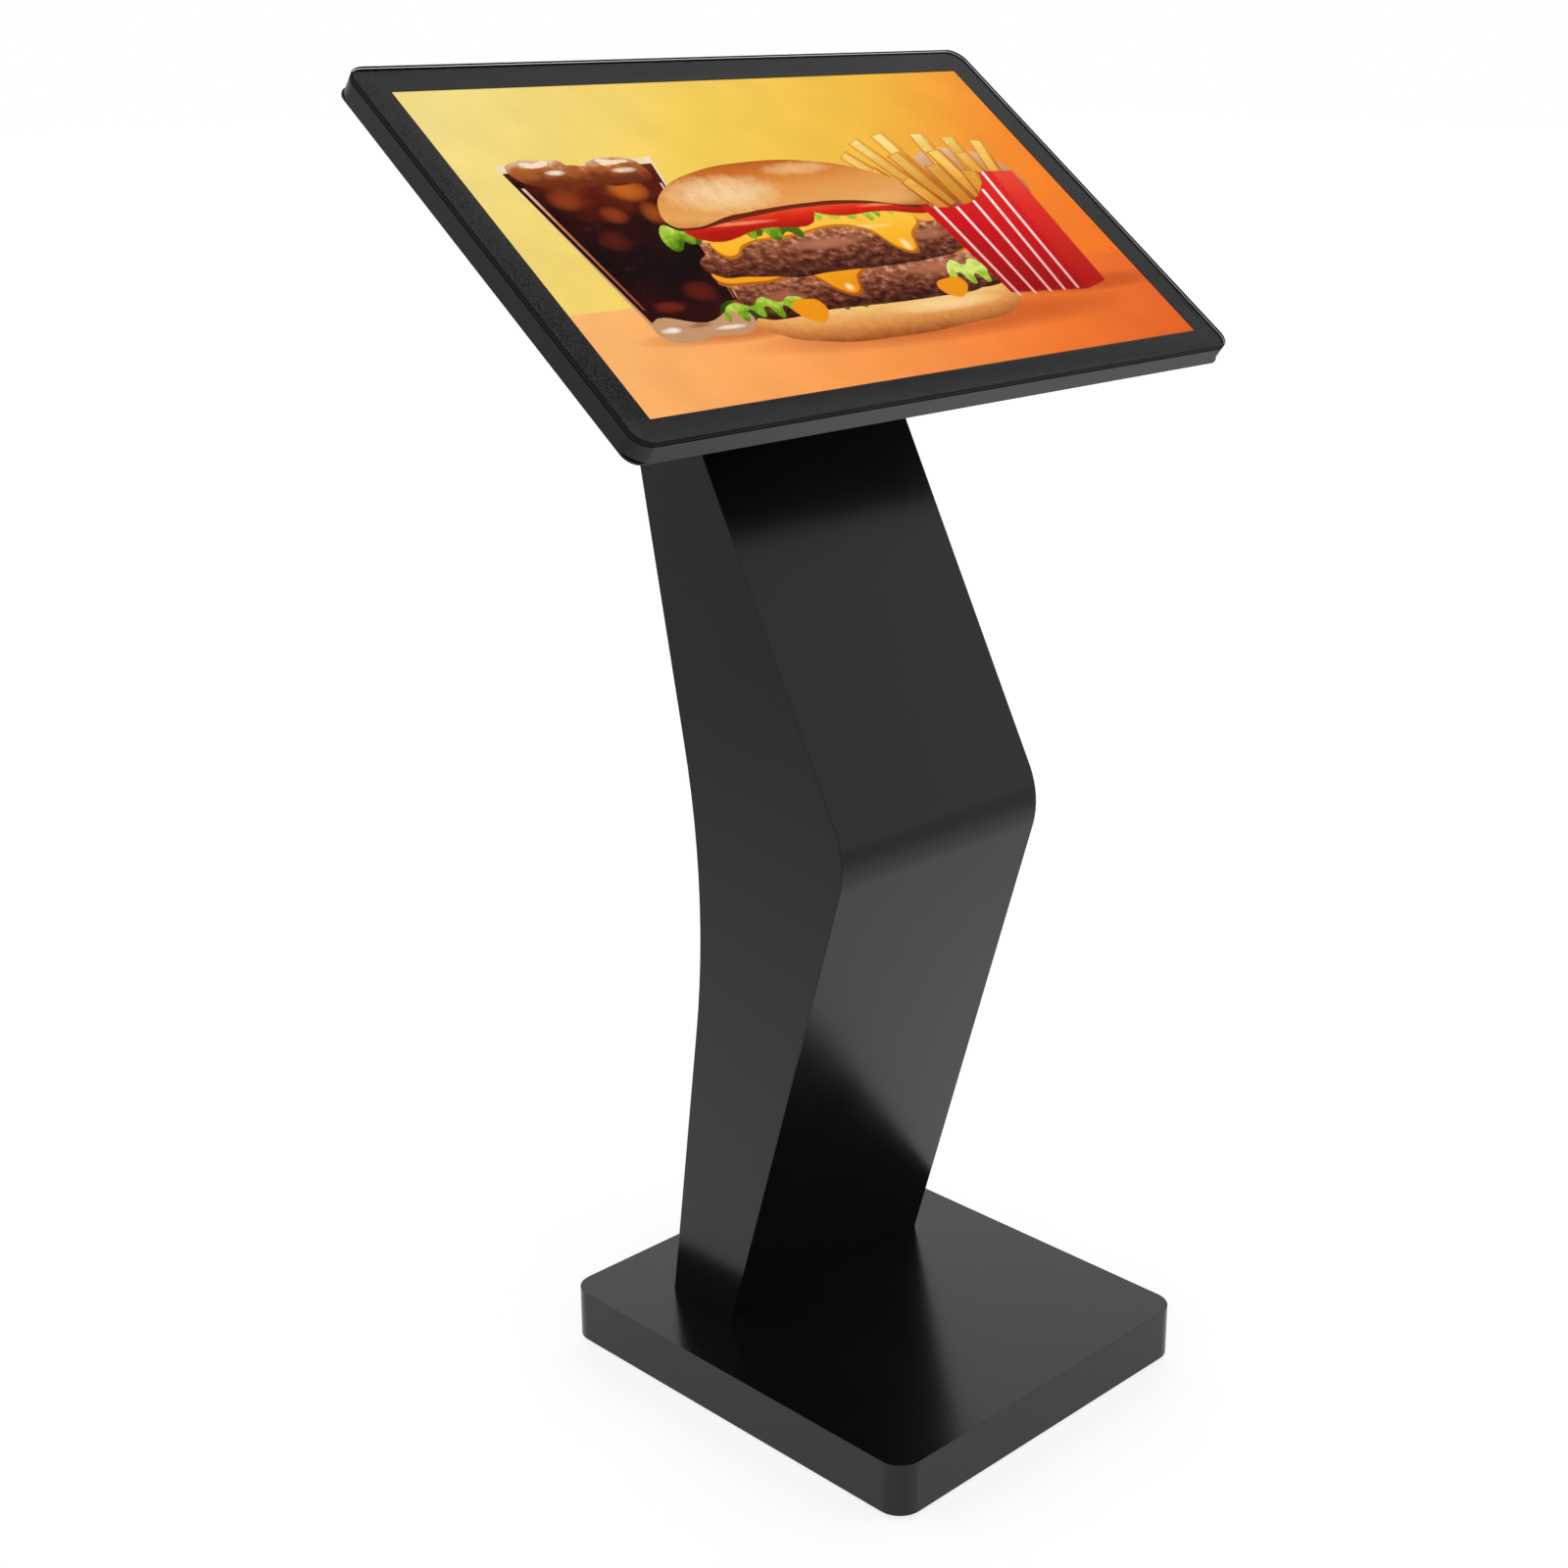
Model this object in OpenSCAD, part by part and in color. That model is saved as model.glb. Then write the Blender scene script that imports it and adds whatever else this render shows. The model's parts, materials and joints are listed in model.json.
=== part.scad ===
// Free-standing touchscreen kiosk: a plinth, a cranked sheet-metal column and a landscape touch head.
// The user stands at -Y and looks towards +Y, +X is on the user's right, and +Z is up.
// The origin is on the floor, under the middle of the whole kiosk's box. Lengths are in millimetres.

/* [Base] */
// Width of the base
base_width = 406; // [330:1:500]
// Depth of the base from front to back
base_depth = 458; // [380:1:560]
// Height of the base shell
base_height = 52.6; // [50:0.1:66]
// Radius of the base's upright corners
base_corner_r = 24.3; // [16:0.1:40]
// Thickness of the base's side walls
base_wall = 2.5; // [2:0.5:4]
// Thickness of the base's top
base_top = 3; // [2:0.5:5]
// Thickness of the ballast plate that closes the base from below
ballast_thickness = 12; // [8:1:15]

/* [Levelling feet] */
// Gap between the floor and the base when the feet are screwed in
floor_gap = 5; // [4:0.5:8]
// Radius of a foot's pad
foot_pad_r = 20; // [15:1:26]
// Radius of a foot's stud
foot_stud_r = 5; // [4:0.5:6]
// Distance of each foot from the two nearest sides of the base
foot_inset = 46; // [38:1:60]

/* [Column] */
// Width of the column
column_width = 267; // [240:1:320]
// Thickness of the column's sheets
column_sheet = 2; // [1.5:0.5:3]
// Front edge of the column's foot, behind the base's middle
foot_front_y = 63.7; // [50:0.1:75]
// Rear edge of the column's foot, behind the base's middle
foot_rear_y = 149.4; // [135:0.1:180]
// How far the knee stands in front of the base's middle
knee_reach = 91.8; // [70:0.1:115]
// Height of the knee above the base's underside
knee_z = 572; // [470:1:690]
// Radius of the knee
knee_r = 80; // [60:1:120]
// Place of the waist, the innermost line of the rear panel, behind the base's middle
waist_y = 90.9; // [75:0.1:110]
// Height of the waist above the base's underside
waist_z = 495; // [410:1:600]
// Radius of the waist
waist_r = 850; // [500:10:1000]
// Depth of the column's top, measured up the slope of the head
column_top_depth = 58.5; // [50:0.1:75]

/* [Head] */
// Angle of the screen's face from the horizontal
face_tilt = 36.5; // [30:0.5:45]
// Place of the screen's centre behind the base's middle
screen_y = 68; // [50:1:90]
// Height of the screen's centre above the base's underside
screen_z = 1112.7; // [930:0.1:1340]
// Width of the picture
screen_width = 698.4; // [585:0.1:840]
// Height of the picture
screen_height = 392.9; // [340:0.1:475]
// Width of the border at the left and right of the picture
side_border = 30.3; // [28:0.1:45]
// Width of the border above the picture
top_border = 30.5; // [28:0.1:45]
// Width of the border below the picture
bottom_border = 27.1; // [25:0.1:45]
// Depth of the head from the glass to the back plate's rear face
head_depth = 23; // [21:0.5:30]
// Corner radius of the glass and frame
head_corner_r = 18; // [12:1:24]
// Corner radius of the back plate
plate_corner_r = 14; // [4:1:18]
// Thickness of the touch glass
glass_thickness = 3.2; // [2:0.1:5]
// Thickness of the head frame's sheet
frame_sheet = 1.5; // [1:0.5:2]
// Thickness of the back plate
plate_sheet = 2; // [1.5:0.5:3]

/* [Rear housing and neck] */
// Width of the rear housing's box
housing_width = 560; // [540:1:600]
// Height of the rear housing's box, up the slope of the head
housing_height = 310; // [300:1:340]
// Depth of the rear housing
housing_depth = 48; // [46:1:60]
// Distance from the column's top to the rear housing
neck_height = 27; // [25:1:45]
// Distance from the screen's centre to the neck's middle, up the slope of the head
neck_offset = 85.5; // [70:0.5:100]

/* [Service door] */
// Width of the door's opening
door_width = 200; // [180:1:215]
// Distance from the base to the door's opening, up the rear panel
door_low_margin = 62; // [58:1:80]
// Distance from the door's opening to the curve of the waist
door_high_margin = 24; // [20:1:60]
// Gap between the door and its opening
door_gap = 1; // [0.8:0.1:1.5]

/* [Hidden] */
$fn = 64;

// How far a cut runs past the face it opens
past = 1;
// How far a fillet's arc crosses the straights that it joins
fillet_bite = 0.02;
// Radial clearance of a pin that turns or slides in its bore
running_fit = 0.05;
// Gap between pieces that move past each other
moving_gap = 0.4;
// Radial clearance of a bolt in its hole
bolt_gap = 0.4;

// Base: screws, pillars, bushes and bolts
ballast_recess = 4;
ballast_gap = 1;
pillar_r = 8;
pillar_inset = [60, 100];
m6_r = 3;
m6_head = [5.5, 4];
bush_r = 11;
bush_height = 20;
foot_stop_gap = 0.3;
foot_hex = [8.5, 2.7];
foot_stud_end = 3;
foot_stud_top = 40;
m8_r = 4;
m8_head = [7, 5.5];
foot_plate_thickness = 6;
foot_bolt_pitch = [95, 48];
backing_size = [240, 76, 6];

// Column: inner plates
diaphragm_z = 640;
diaphragm_thickness = 3;
lead_hole_r = 14;
top_plate_thickness = 6;

// Head: the stack of layers behind the glass
print_thickness = 0.3;
print_inset = 0.8;
gasket_thickness = 1.2;
gasket_inset = 0.9;
gasket_width = 11;
cell_margin = [4.8, 4.8];
cell_gap = 1;
backlight_size = [726, 418, 10];
plate_lip = 12;
camera_inset = 5;
camera_window_r = 2.5;
camera_barrel_r = 2.4;
camera_block = [12, 7, 4.5];
camera_board = [30, 7, 1];
clip_size = [30, 20];
clip_leg = 9;
m3_r = 1.5;
m3_head = [2.8, 1.5];
m3_length = 4;
plate_screw_end = 60;
rear_cutout = [300, 60];
rear_cutout_v = -60;

// Rear housing
housing_sheet = 1.5;
housing_corner_r = 8;
housing_flange = 12;
housing_v = 25;
vent_pitch = 7;
intake_vent = [3, 44];
fan_vent = [3, 30, 18.5];
fan_vent_count = 9;
intake_place = [212, -45];
intake_count = 10;
sound_slot = [3, 26];
mount_plate_size = [300, 142, 5];
mount_hole_r = 20;

// Neck bracket
neck_lower_plate = [240, 6];
neck_upper_plate = [300, 130, 5];
neck_box = [230, 48];
neck_box_sheet = 4;
neck_bolt_x = [-90, -50, 50, 90];
head_bolt_pitch = [270, 104];
head_bolt_length = 16;

// Boards, heat sink, fan, speakers and button inside the rear housing
standoff_r = 3;
standoff_height = 6;
standoff_inset = 6;
board_sheet = 1.6;
main_board_size = [190, 112];
main_board_place = [-60, -66];
touch_board_size = [76, 60];
touch_board_place = [92, -85];
driver_board_size = [90, 170];
driver_board_place = [-220, 70];
sink_size = [60, 60, 4];
sink_fin = [2, 16];
sink_fin_count = 9;
sink_place = [-40, -66];
fan_size = 80;
fan_depth = 15;
fan_place = [214, 100];
fan_hole_r = 37;
fan_hub_r = 17;
fan_blade = [1.6, 11];
fan_blade_count = 7;
fan_blade_tip_r = 35.5;
fan_pitch = 38;
fan_spoke = 5;
fan_spoke_depth = 2;
fan_shaft_r = 1.5;
fan_rotor_gap = 0.6;
speaker_box = [100, 36, 34];
speaker_u = 215;
speaker_cone = [15, 9, 5];
button_r = 5;
button_proud = 1;
button_bezel_size = [8, 2];
button_barrel = [6.5, 18];
button_bore_depth = 15;
button_place = [30, -24];
button_length = 12;

// Service door, its hinges and its lock
door_sheet = 2;
door_stiffener = [150, 22, 6];
door_stiffener_inset = 40;
surround_width = 15;
surround_lip = 8;
surround_depth = 4.5;
surround_lip_depth = 2.5;
seal_gap = 0.4;
hinge_axis_height = 4.5;
hinge_knuckle_r = 4;
hinge_pin_r = 1.5;
hinge_leaf = [22, 50, 2];
hinge_middle = 16;
hinge_pin_head = [2.4, 1.2];
hinge_end_inset = 45;
lock_inset = 21;
lock_bezel = [11, 1.5];
lock_body_r = 8.5;
lock_body_depth = 8;
lock_nut = [12.5, 3];
lock_plug_r = 5.5;
lock_plug_proud = 0.8;
key_slot = [7, 1.4, 3];
lock_cam_size = [12, 27, 2.5];
lock_cam_nut = [4.5, 3];

// Power supply and mains inlet
supply_size = [150, 120, 34];
supply_low = 66;
supply_bracket_height = 10;
supply_bracket_sheet = 1.5;
supply_bracket_foot = 18;
supply_vents = [3, 60];
inlet_up = 30;
inlet_flange = [72, 34, 2.5];
inlet_box = [64, 27, 30];
socket_size = [24.6, 16.8, 17];
socket_x = -15;
blade_size = [2, 5];
blade_pitch = 7;
blade_rise = 3;
blade_tip = 5;
blade_tail = 4;
rocker_x = 19;
rocker_hole = [14, 22, 13];
rocker_size = [13, 18.6];
rocker_depth = 8;
rocker_ear = 4;
rocker_dip = 1.6;
rocker_pivot_z = -2;
rocker_pin = [1.5, 1.2];
rocker_tilt = 9;

// Routes of the two internal leads, each point [x, y, z] above the base's underside
inlet_route = [[0, 114, 85], [0, 105, 86], [0, 95, 91], [0, 80, 107], [0, 73, 123]];
head_route = [
    [0, 38, 240], [0, 32, 262], [0, 20, 320], [0, 8, 400], [0, 6, 480], [0, 14, 560], [0, 34, 640],
    [0, 62, 720], [0, 92, 800], [0, 122, 880], [0, 150, 950], [0, 176, 1020], [0, 191, 1062],
    [0, 195, 1085], [0, 188, 1098], [0, 174, 1114], [-3, 157, 1115], [-12, 130, 1096], [-24, 103, 1074],
    [-34, 86, 1056], [-40, 77, 1048]
];
lead_r = 4;
lead_sides = 10;
lead_steps = 3;

// Colours
paint = "#1d1e20";
zinc = "#a9adb0";
rubber_black = "#151515";
plastic_black = "#202124";
board_green = "#1c5a3a";

// ---- derived places ----
column_mid_y = (foot_front_y + foot_rear_y) / 2;
foot_x = base_width / 2 - foot_inset;
foot_y = base_depth / 2 - foot_inset;
pillar_x = base_width / 2 - pillar_inset.x;
pillar_y = base_depth / 2 - pillar_inset.y;
ballast_top = ballast_recess + ballast_thickness;
foot_hex_low = ballast_recess - foot_stop_gap - foot_hex.y;
foot_pad_height = foot_hex_low + floor_gap;
base_ceiling = base_height - base_top;

head_top_v = screen_height / 2 + top_border;
head_low_v = -screen_height / 2 - bottom_border;
head_mid_v = (head_top_v + head_low_v) / 2;
head_size = [screen_width + 2 * side_border, head_top_v - head_low_v];
cell_size = [screen_width, screen_height] + 2 * cell_margin;
print_front = -glass_thickness;
gasket_front = print_front - print_thickness;
frame_front = gasket_front - gasket_thickness;
backlight_front = frame_front - frame_sheet;
backlight_rear = backlight_front - backlight_size.z;
plate_rear = -head_depth;
plate_front = plate_rear + plate_sheet;
housing_rear = plate_rear - housing_depth;
floor_front = housing_rear + housing_sheet;
neck_rear = housing_rear - neck_height;
board_rear = floor_front + standoff_height;
board_front = board_rear + board_sheet;

front_reach = min(-base_depth / 2, screen_y + head_low_v * cos(face_tilt));
rear_reach = max(base_depth / 2, screen_y + head_top_v * cos(face_tilt) + head_depth * sin(face_tilt));
y_shift = -(front_reach + rear_reach) / 2;

// ---- geometry helpers ----
function unit(v) = v / norm(v);

// A point of the head's side view, [y, z], from its distance up the face and out of it
function head_point(v, n) = [
    screen_y + v * cos(face_tilt) - n * sin(face_tilt),
    screen_z + v * sin(face_tilt) + n * cos(face_tilt)
];

// A straight line of the column's side view is [a, b], with y = a + b * z
function line_through(p, q) = let (b = (q.x - p.x) / (q.y - p.y)) [p.x - b * p.y, b];
function line_shift(l, t) = [l[0] + t * sqrt(1 + l[1] * l[1]), l[1]];
function line_y(l, z) = l[0] + l[1] * z;
function line_meet(l, m) = let (z = (l[0] - m[0]) / (m[1] - l[1])) [line_y(l, z), z];

// A fillet of radius r in the corner q between p and s
function corner_angle(p, q, s) = acos(unit(p - q) * unit(s - q));
function fillet_run(p, q, s, r) = r / tan(corner_angle(p, q, s) / 2);
function fillet_point(p, q, s, r) = q + unit(p - q) * fillet_run(p, q, s, r);
// Its centre stands nearer the corner by fillet_bite, so that the arc meets the straights at clear points
function fillet_centre(p, q, s, r) =
    q + unit(unit(p - q) + unit(s - q)) * (r / sin(corner_angle(p, q, s) / 2) - fillet_bite);

foot_front = [foot_front_y, base_height];
foot_rear = [foot_rear_y, base_height];
knee = [-knee_reach, knee_z];
waist = [waist_y, waist_z];
top_front = head_point(neck_offset - column_top_depth / 2, neck_rear);
top_rear = head_point(neck_offset + column_top_depth / 2, neck_rear);
front_low_line = line_through(foot_front, knee);
front_high_line = line_through(knee, top_front);
rear_low_line = line_through(foot_rear, waist);
rear_high_line = line_through(waist, top_rear);
top_line = line_through(top_front, top_rear);
front_lean = atan(-front_low_line[1]);
rear_lean = atan(-rear_low_line[1]);
rear_straight = norm(waist - foot_rear) - fillet_run(foot_rear, waist, top_rear, waist_r);
door_height = rear_straight - door_low_margin - door_high_margin;
door_y = door_low_margin + door_height / 2;
diaphragm_lead_y = 34;

module kiosk() translate([0, y_shift, floor_gap]) children();

// Frame of the head: x to the right, y up the face, z out of the glass, from the screen's centre
module head() kiosk() translate([0, screen_y, screen_z]) rotate([face_tilt, 0, 0]) children();

// Frame of the rear panel: y up the panel, z out of it, from its foot
module rear_face() kiosk() translate([0, foot_rear_y, base_height])
    rotate([90 - rear_lean, 0, 180]) children();

// Frame of the front panel: y up the panel, z into the column, from its foot
module front_face() kiosk() translate([0, foot_front_y, base_height])
    rotate([90 - front_lean, 0, 180]) children();

module along_x(width) translate([-width / 2, 0, 0]) rotate([90, 0, 90]) linear_extrude(width) children();

module rounded_rect(size, r) {
    square([size.x - 2 * r, size.y], center = true);
    square([size.x, size.y - 2 * r], center = true);
    for (sx = [-1, 1], sy = [-1, 1])
        translate([sx * (size.x / 2 - r), sy * (size.y / 2 - r)]) circle(r);
}

// A rounded slab whose upper face is at height top
module slab(size, r, top, thickness)
    translate([0, 0, top - thickness]) linear_extrude(thickness) rounded_rect(size, r);

module box(size, bottom) translate([-size.x / 2, -size.y / 2, bottom]) cube(size);

// A fastener with its head below z = 0 and its shank above
module fastener(head, r, length, head_sides = 64) {
    translate([0, 0, -head.y]) cylinder(r = head.x, h = head.y, $fn = head_sides);
    cylinder(r = r, h = length);
}

module at_each(points) for (p = points) translate([p.x, p.y, 0]) children();

// Side view of the column, with its outline moved inwards by the given amounts
module column_section(front = 0, rear = 0, low = 0, high = 0) {
    fl = line_shift(front_low_line, front);
    fh = line_shift(front_high_line, front);
    rl = line_shift(rear_low_line, -rear);
    rh = line_shift(rear_high_line, -rear);
    tl = line_shift(top_line, high);
    z0 = base_height + low;
    a = [line_y(fl, z0), z0];
    k = line_meet(fl, fh);
    b = line_meet(fh, tl);
    c = line_meet(rh, tl);
    w = line_meet(rl, rh);
    d = [line_y(rl, z0), z0];
    kr = knee_r - front;
    wr = waist_r + rear;
    k1 = fillet_point(a, k, b, kr);
    k2 = fillet_point(b, k, a, kr);
    difference() {
        polygon([a, k, b, c, fillet_point(c, w, d, wr), fillet_point(d, w, c, wr), d]);
        difference() {
            polygon([2 * k1 - k2, 2 * k - (k1 + k2) / 2, 2 * k2 - k1]);
            translate(fillet_centre(a, k, b, kr)) circle(kr);
        }
        translate(fillet_centre(c, w, d, wr)) circle(wr, $fn = 360);
    }
}

module column_filling() along_x(column_width - 2 * column_sheet)
    column_section(front = column_sheet, rear = column_sheet);

// ---- swept leads ----
function spline(p, i, t) = let (
    a = p[max(i - 1, 0)], b = p[i], c = p[i + 1], d = p[min(i + 2, len(p) - 1)]
) 0.5 * (2 * b + (c - a) * t + (2 * a - 5 * b + 4 * c - d) * t * t + (3 * b - a - 3 * c + d) * t * t * t);

function route_points(p) = [
    for (i = [0 : len(p) - 2], s = [0 : lead_steps - 1]) spline(p, i, s / lead_steps),
    p[len(p) - 1]
];

function route_ring(q, i) = let (
    t = unit(q[min(i + 1, len(q) - 1)] - q[max(i - 1, 0)]),
    e = unit(cross([1, 0, 0], t)),
    f = cross(t, e)
) [
    for (s = [0 : lead_sides - 1]) let (a = 360 * s / lead_sides)
        q[i] + lead_r * (cos(a) * e + sin(a) * f)
];

module lead(route) {
    q = route_points(route);
    last = len(q) - 1;
    points = [for (i = [0 : last]) each route_ring(q, i)];
    walls = [
        for (i = [0 : last - 1], s = [0 : lead_sides - 1]) let (t = (s + 1) % lead_sides)
            [i * lead_sides + s, (i + 1) * lead_sides + s, (i + 1) * lead_sides + t, i * lead_sides + t]
    ];
    start_cap = [for (s = [0 : lead_sides - 1]) s];
    end_cap = [for (s = [lead_sides - 1 : -1 : 0]) last * lead_sides + s];
    polyhedron(points, concat([start_cap], walls, [end_cap]));
}

// ---- base ----
module base_prism(inset, low, high) translate([0, 0, low]) linear_extrude(high - low)
    rounded_rect([base_width, base_depth] - 2 * [inset, inset], base_corner_r - inset);

module at_foot_bolts() translate([0, column_mid_y, 0])
    at_each([for (i = [-1 : 1], j = [-0.5, 0.5]) [i * foot_bolt_pitch.x, j * foot_bolt_pitch.y]])
        children();

module at_pillars() at_each([for (sx = [-1, 1], sy = [-1, 1]) [sx * pillar_x, sy * pillar_y]]) children();

module at_feet() at_each([for (sx = [-1, 1], sy = [-1, 1]) [sx * foot_x, sy * foot_y]]) children();

module base_shell() color(paint) kiosk() difference() {
    base_prism(0, 0, base_height);
    base_prism(base_wall, -past, base_ceiling);
    at_foot_bolts() cylinder(r = m8_r + bolt_gap, h = base_height + past);
}

module ballast_plate() color(zinc) kiosk() difference() {
    base_prism(base_wall + ballast_gap, ballast_recess, ballast_top);
    at_feet() cylinder(r = foot_stud_r + bolt_gap, h = base_height);
    at_pillars() cylinder(r = m6_r + bolt_gap, h = base_height);
    at_pillars() cylinder(r = m6_head.x + bolt_gap, h = ballast_recess + m6_head.y);
}

module base_pillars() color(zinc) kiosk() at_pillars() difference() {
    translate([0, 0, ballast_top]) cylinder(r = pillar_r, h = base_ceiling - ballast_top);
    cylinder(r = m6_r, h = ballast_top + 2 * m6_head.y);
}

module base_screws() color(zinc) kiosk() at_pillars()
    translate([0, 0, ballast_recess + m6_head.y])
        fastener(m6_head, m6_r, ballast_thickness + m6_head.y - past);

module foot_bushes() color(zinc) kiosk() at_feet() translate([0, 0, ballast_top]) difference() {
    cylinder(r = bush_r, h = bush_height);
    translate([0, 0, -past]) cylinder(r = foot_stud_r + running_fit, h = bush_height + 2 * past);
}

module foot_stud(sx, sy) color(zinc) kiosk() translate([sx * foot_x, sy * foot_y, 0]) {
    translate([0, 0, foot_hex_low - foot_stud_end])
        cylinder(r = foot_stud_r, h = foot_stud_top - foot_hex_low + foot_stud_end);
    translate([0, 0, foot_hex_low]) cylinder(r = foot_hex.x, h = foot_hex.y, $fn = 6);
}

module foot_pad(sx, sy) color(rubber_black) kiosk() translate([sx * foot_x, sy * foot_y, -floor_gap])
    difference() {
        cylinder(r = foot_pad_r, h = foot_pad_height);
        translate([0, 0, foot_pad_height - foot_stud_end]) cylinder(r = foot_stud_r, h = foot_stud_end + past);
    }

module backing_plate() color(zinc) kiosk() difference() {
    translate([0, column_mid_y, 0]) box(backing_size, base_ceiling - backing_size.z);
    at_foot_bolts() cylinder(r = m8_r, h = base_height);
}

// ---- column ----
module column_foot_plate() color(paint) kiosk() difference() {
    intersection() {
        column_filling();
        translate([0, column_mid_y, 0])
            box([column_width, base_depth, foot_plate_thickness], base_height);
    }
    at_foot_bolts() cylinder(r = m8_r + bolt_gap, h = base_height + 2 * foot_plate_thickness);
}

module foot_bolts() color(zinc) kiosk() at_foot_bolts()
    translate([0, 0, base_height + foot_plate_thickness]) mirror([0, 0, 1])
        fastener(m8_head, m8_r, foot_plate_thickness + base_top + backing_size.z, 6);

module column_front_panel() color(paint) kiosk() difference() {
    along_x(column_width) column_section();
    along_x(column_width + 2 * past)
        column_section(front = column_sheet, rear = -past, low = -past, high = -past);
}

module column_side(side) color(paint) kiosk()
    translate([side * (column_width - column_sheet) / 2, 0, 0])
        along_x(column_sheet) column_section(front = column_sheet, rear = column_sheet);

module column_rear_panel() color(paint) difference() {
    kiosk() difference() {
        along_x(column_width) column_section();
        along_x(column_width + 2 * past)
            column_section(front = -past, rear = column_sheet, low = -past, high = -past);
    }
    rear_face() translate([0, door_y, 0])
        box([door_width, door_height, 2 * column_sheet + 2 * past], -2 * column_sheet);
    rear_face() translate([0, inlet_up, 0])
        box([inlet_box.x, inlet_box.y, 2 * column_sheet + 2 * past], -2 * column_sheet);
}

module column_diaphragm() color(paint) kiosk() difference() {
    intersection() {
        column_filling();
        box([column_width, 2 * base_depth, diaphragm_thickness], diaphragm_z);
    }
    translate([0, diaphragm_lead_y, diaphragm_z - past])
        cylinder(r = lead_hole_r, h = diaphragm_thickness + 2 * past);
}

module column_top_plate() color(paint) difference() {
    intersection() {
        kiosk() column_filling();
        head() translate([0, neck_offset, 0])
            box([column_width, 2 * column_top_depth, top_plate_thickness], neck_rear - top_plate_thickness);
    }
    head() translate([0, neck_offset, neck_rear - top_plate_thickness - past]) {
        cylinder(r = lead_hole_r, h = top_plate_thickness + 2 * past);
        at_each([for (x = neck_bolt_x) [x, 0]]) cylinder(r = m8_r, h = top_plate_thickness + 2 * past);
    }
}

// ---- service door ----
door_size = [door_width - 2 * door_gap, door_height - 2 * door_gap];
lock_x = door_width / 2 - lock_inset;
hinge_y = [door_y - door_height / 2 + hinge_end_inset, door_y + door_height / 2 - hinge_end_inset];

module door_ring(outer, inner, top, depth) translate([0, door_y, 0]) difference() {
    box([door_width, door_height, depth] + [2 * outer, 2 * outer, 0], top - depth);
    box([door_width, door_height, depth + 2 * past] - [2 * inner, 2 * inner, 0], top - depth - past);
}

module door_surround() color(paint) rear_face() {
    door_ring(surround_width, 0, -column_sheet, surround_depth);
    door_ring(0, surround_lip, surround_lip_depth - column_sheet - surround_depth, surround_lip_depth);
}

module door_seal() color(rubber_black) rear_face() {
    rise = surround_depth - surround_lip_depth - seal_gap;
    door_ring(-door_gap, surround_lip, -column_sheet - seal_gap, rise);
}

module service_door() color(paint) rear_face() difference() {
    translate([0, door_y, 0]) {
        box([door_size.x, door_size.y, door_sheet], -door_sheet);
        for (side = [-1, 1]) translate([0, side * (door_size.y / 2 - door_stiffener_inset), 0])
            box(door_stiffener, -door_sheet - door_stiffener.z);
    }
    translate([lock_x, door_y, -lock_body_depth]) cylinder(r = lock_body_r, h = 2 * lock_body_depth);
}

// Knuckle barrel along y, cut from the panel by the moving gap
module knuckle(from, to, bore) rotate([-90, 0, 0]) translate([0, 0, from]) difference() {
    cylinder(r = hinge_knuckle_r, h = to - from);
    translate([0, 0, -past]) cylinder(r = bore, h = to - from + 2 * past);
}

module at_hinges() for (y = hinge_y) translate([-door_width / 2, y, 0]) children();

module hinge_leaves_fixed() color(zinc) rear_face() at_hinges() {
    end = hinge_leaf.y / 2;
    inner = hinge_middle / 2 + moving_gap;
    difference() {
        translate([-hinge_leaf.x, -end, 0]) cube([hinge_leaf.x - door_gap, hinge_leaf.y, hinge_leaf.z]);
        translate([-hinge_knuckle_r - moving_gap, -inner, -past])
            cube([hinge_leaf.x, 2 * inner, hinge_leaf.z + 2 * past]);
    }
    translate([0, 0, hinge_axis_height]) {
        knuckle(-end, -inner, hinge_pin_r);
        knuckle(inner, end, hinge_pin_r);
    }
}

module hinge_leaves_door() color(zinc) rear_face() at_hinges() {
    end = hinge_leaf.y / 2;
    inner = hinge_middle / 2;
    difference() {
        translate([door_gap, -end, 0]) cube([hinge_leaf.x - door_gap, hinge_leaf.y, hinge_leaf.z]);
        for (side = [-1, 1]) translate([0, side * (inner + end) / 2, 0])
            box([2 * (hinge_knuckle_r + moving_gap), end - inner + past / 2, hinge_leaf.z + 2 * past], -past);
    }
    translate([0, 0, hinge_axis_height]) knuckle(-inner, inner, hinge_pin_r + running_fit);
}

module hinge_pins() color(zinc) rear_face() at_hinges() {
    end = hinge_leaf.y / 2;
    translate([0, 0, hinge_axis_height]) rotate([-90, 0, 0]) {
        translate([0, 0, -end]) cylinder(r = hinge_pin_r, h = 2 * end);
        for (from = [-end - hinge_pin_head.y, end])
            translate([0, 0, from]) cylinder(r = hinge_pin_head.x, h = hinge_pin_head.y);
    }
}

module at_lock() rear_face() translate([lock_x, door_y, 0]) children();

module lock_body() color(zinc) at_lock() difference() {
    union() {
        translate([0, 0, -lock_body_depth]) cylinder(r = lock_body_r, h = lock_body_depth);
        cylinder(r = lock_bezel.x, h = lock_bezel.y);
        translate([0, 0, -door_sheet - lock_nut.y]) cylinder(r = lock_nut.x, h = lock_nut.y, $fn = 6);
    }
    translate([0, 0, -lock_body_depth - past])
        cylinder(r = lock_plug_r + running_fit, h = lock_body_depth + lock_bezel.y + 2 * past);
}

module lock_plug() color(zinc) at_lock() difference() {
    translate([0, 0, -lock_body_depth - moving_gap])
        cylinder(r = lock_plug_r, h = lock_body_depth + moving_gap + lock_bezel.y + lock_plug_proud);
    translate([-key_slot.y / 2, -key_slot.x / 2, lock_bezel.y + lock_plug_proud - key_slot.z])
        cube([key_slot.y, key_slot.x, key_slot.z + past]);
}

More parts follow.
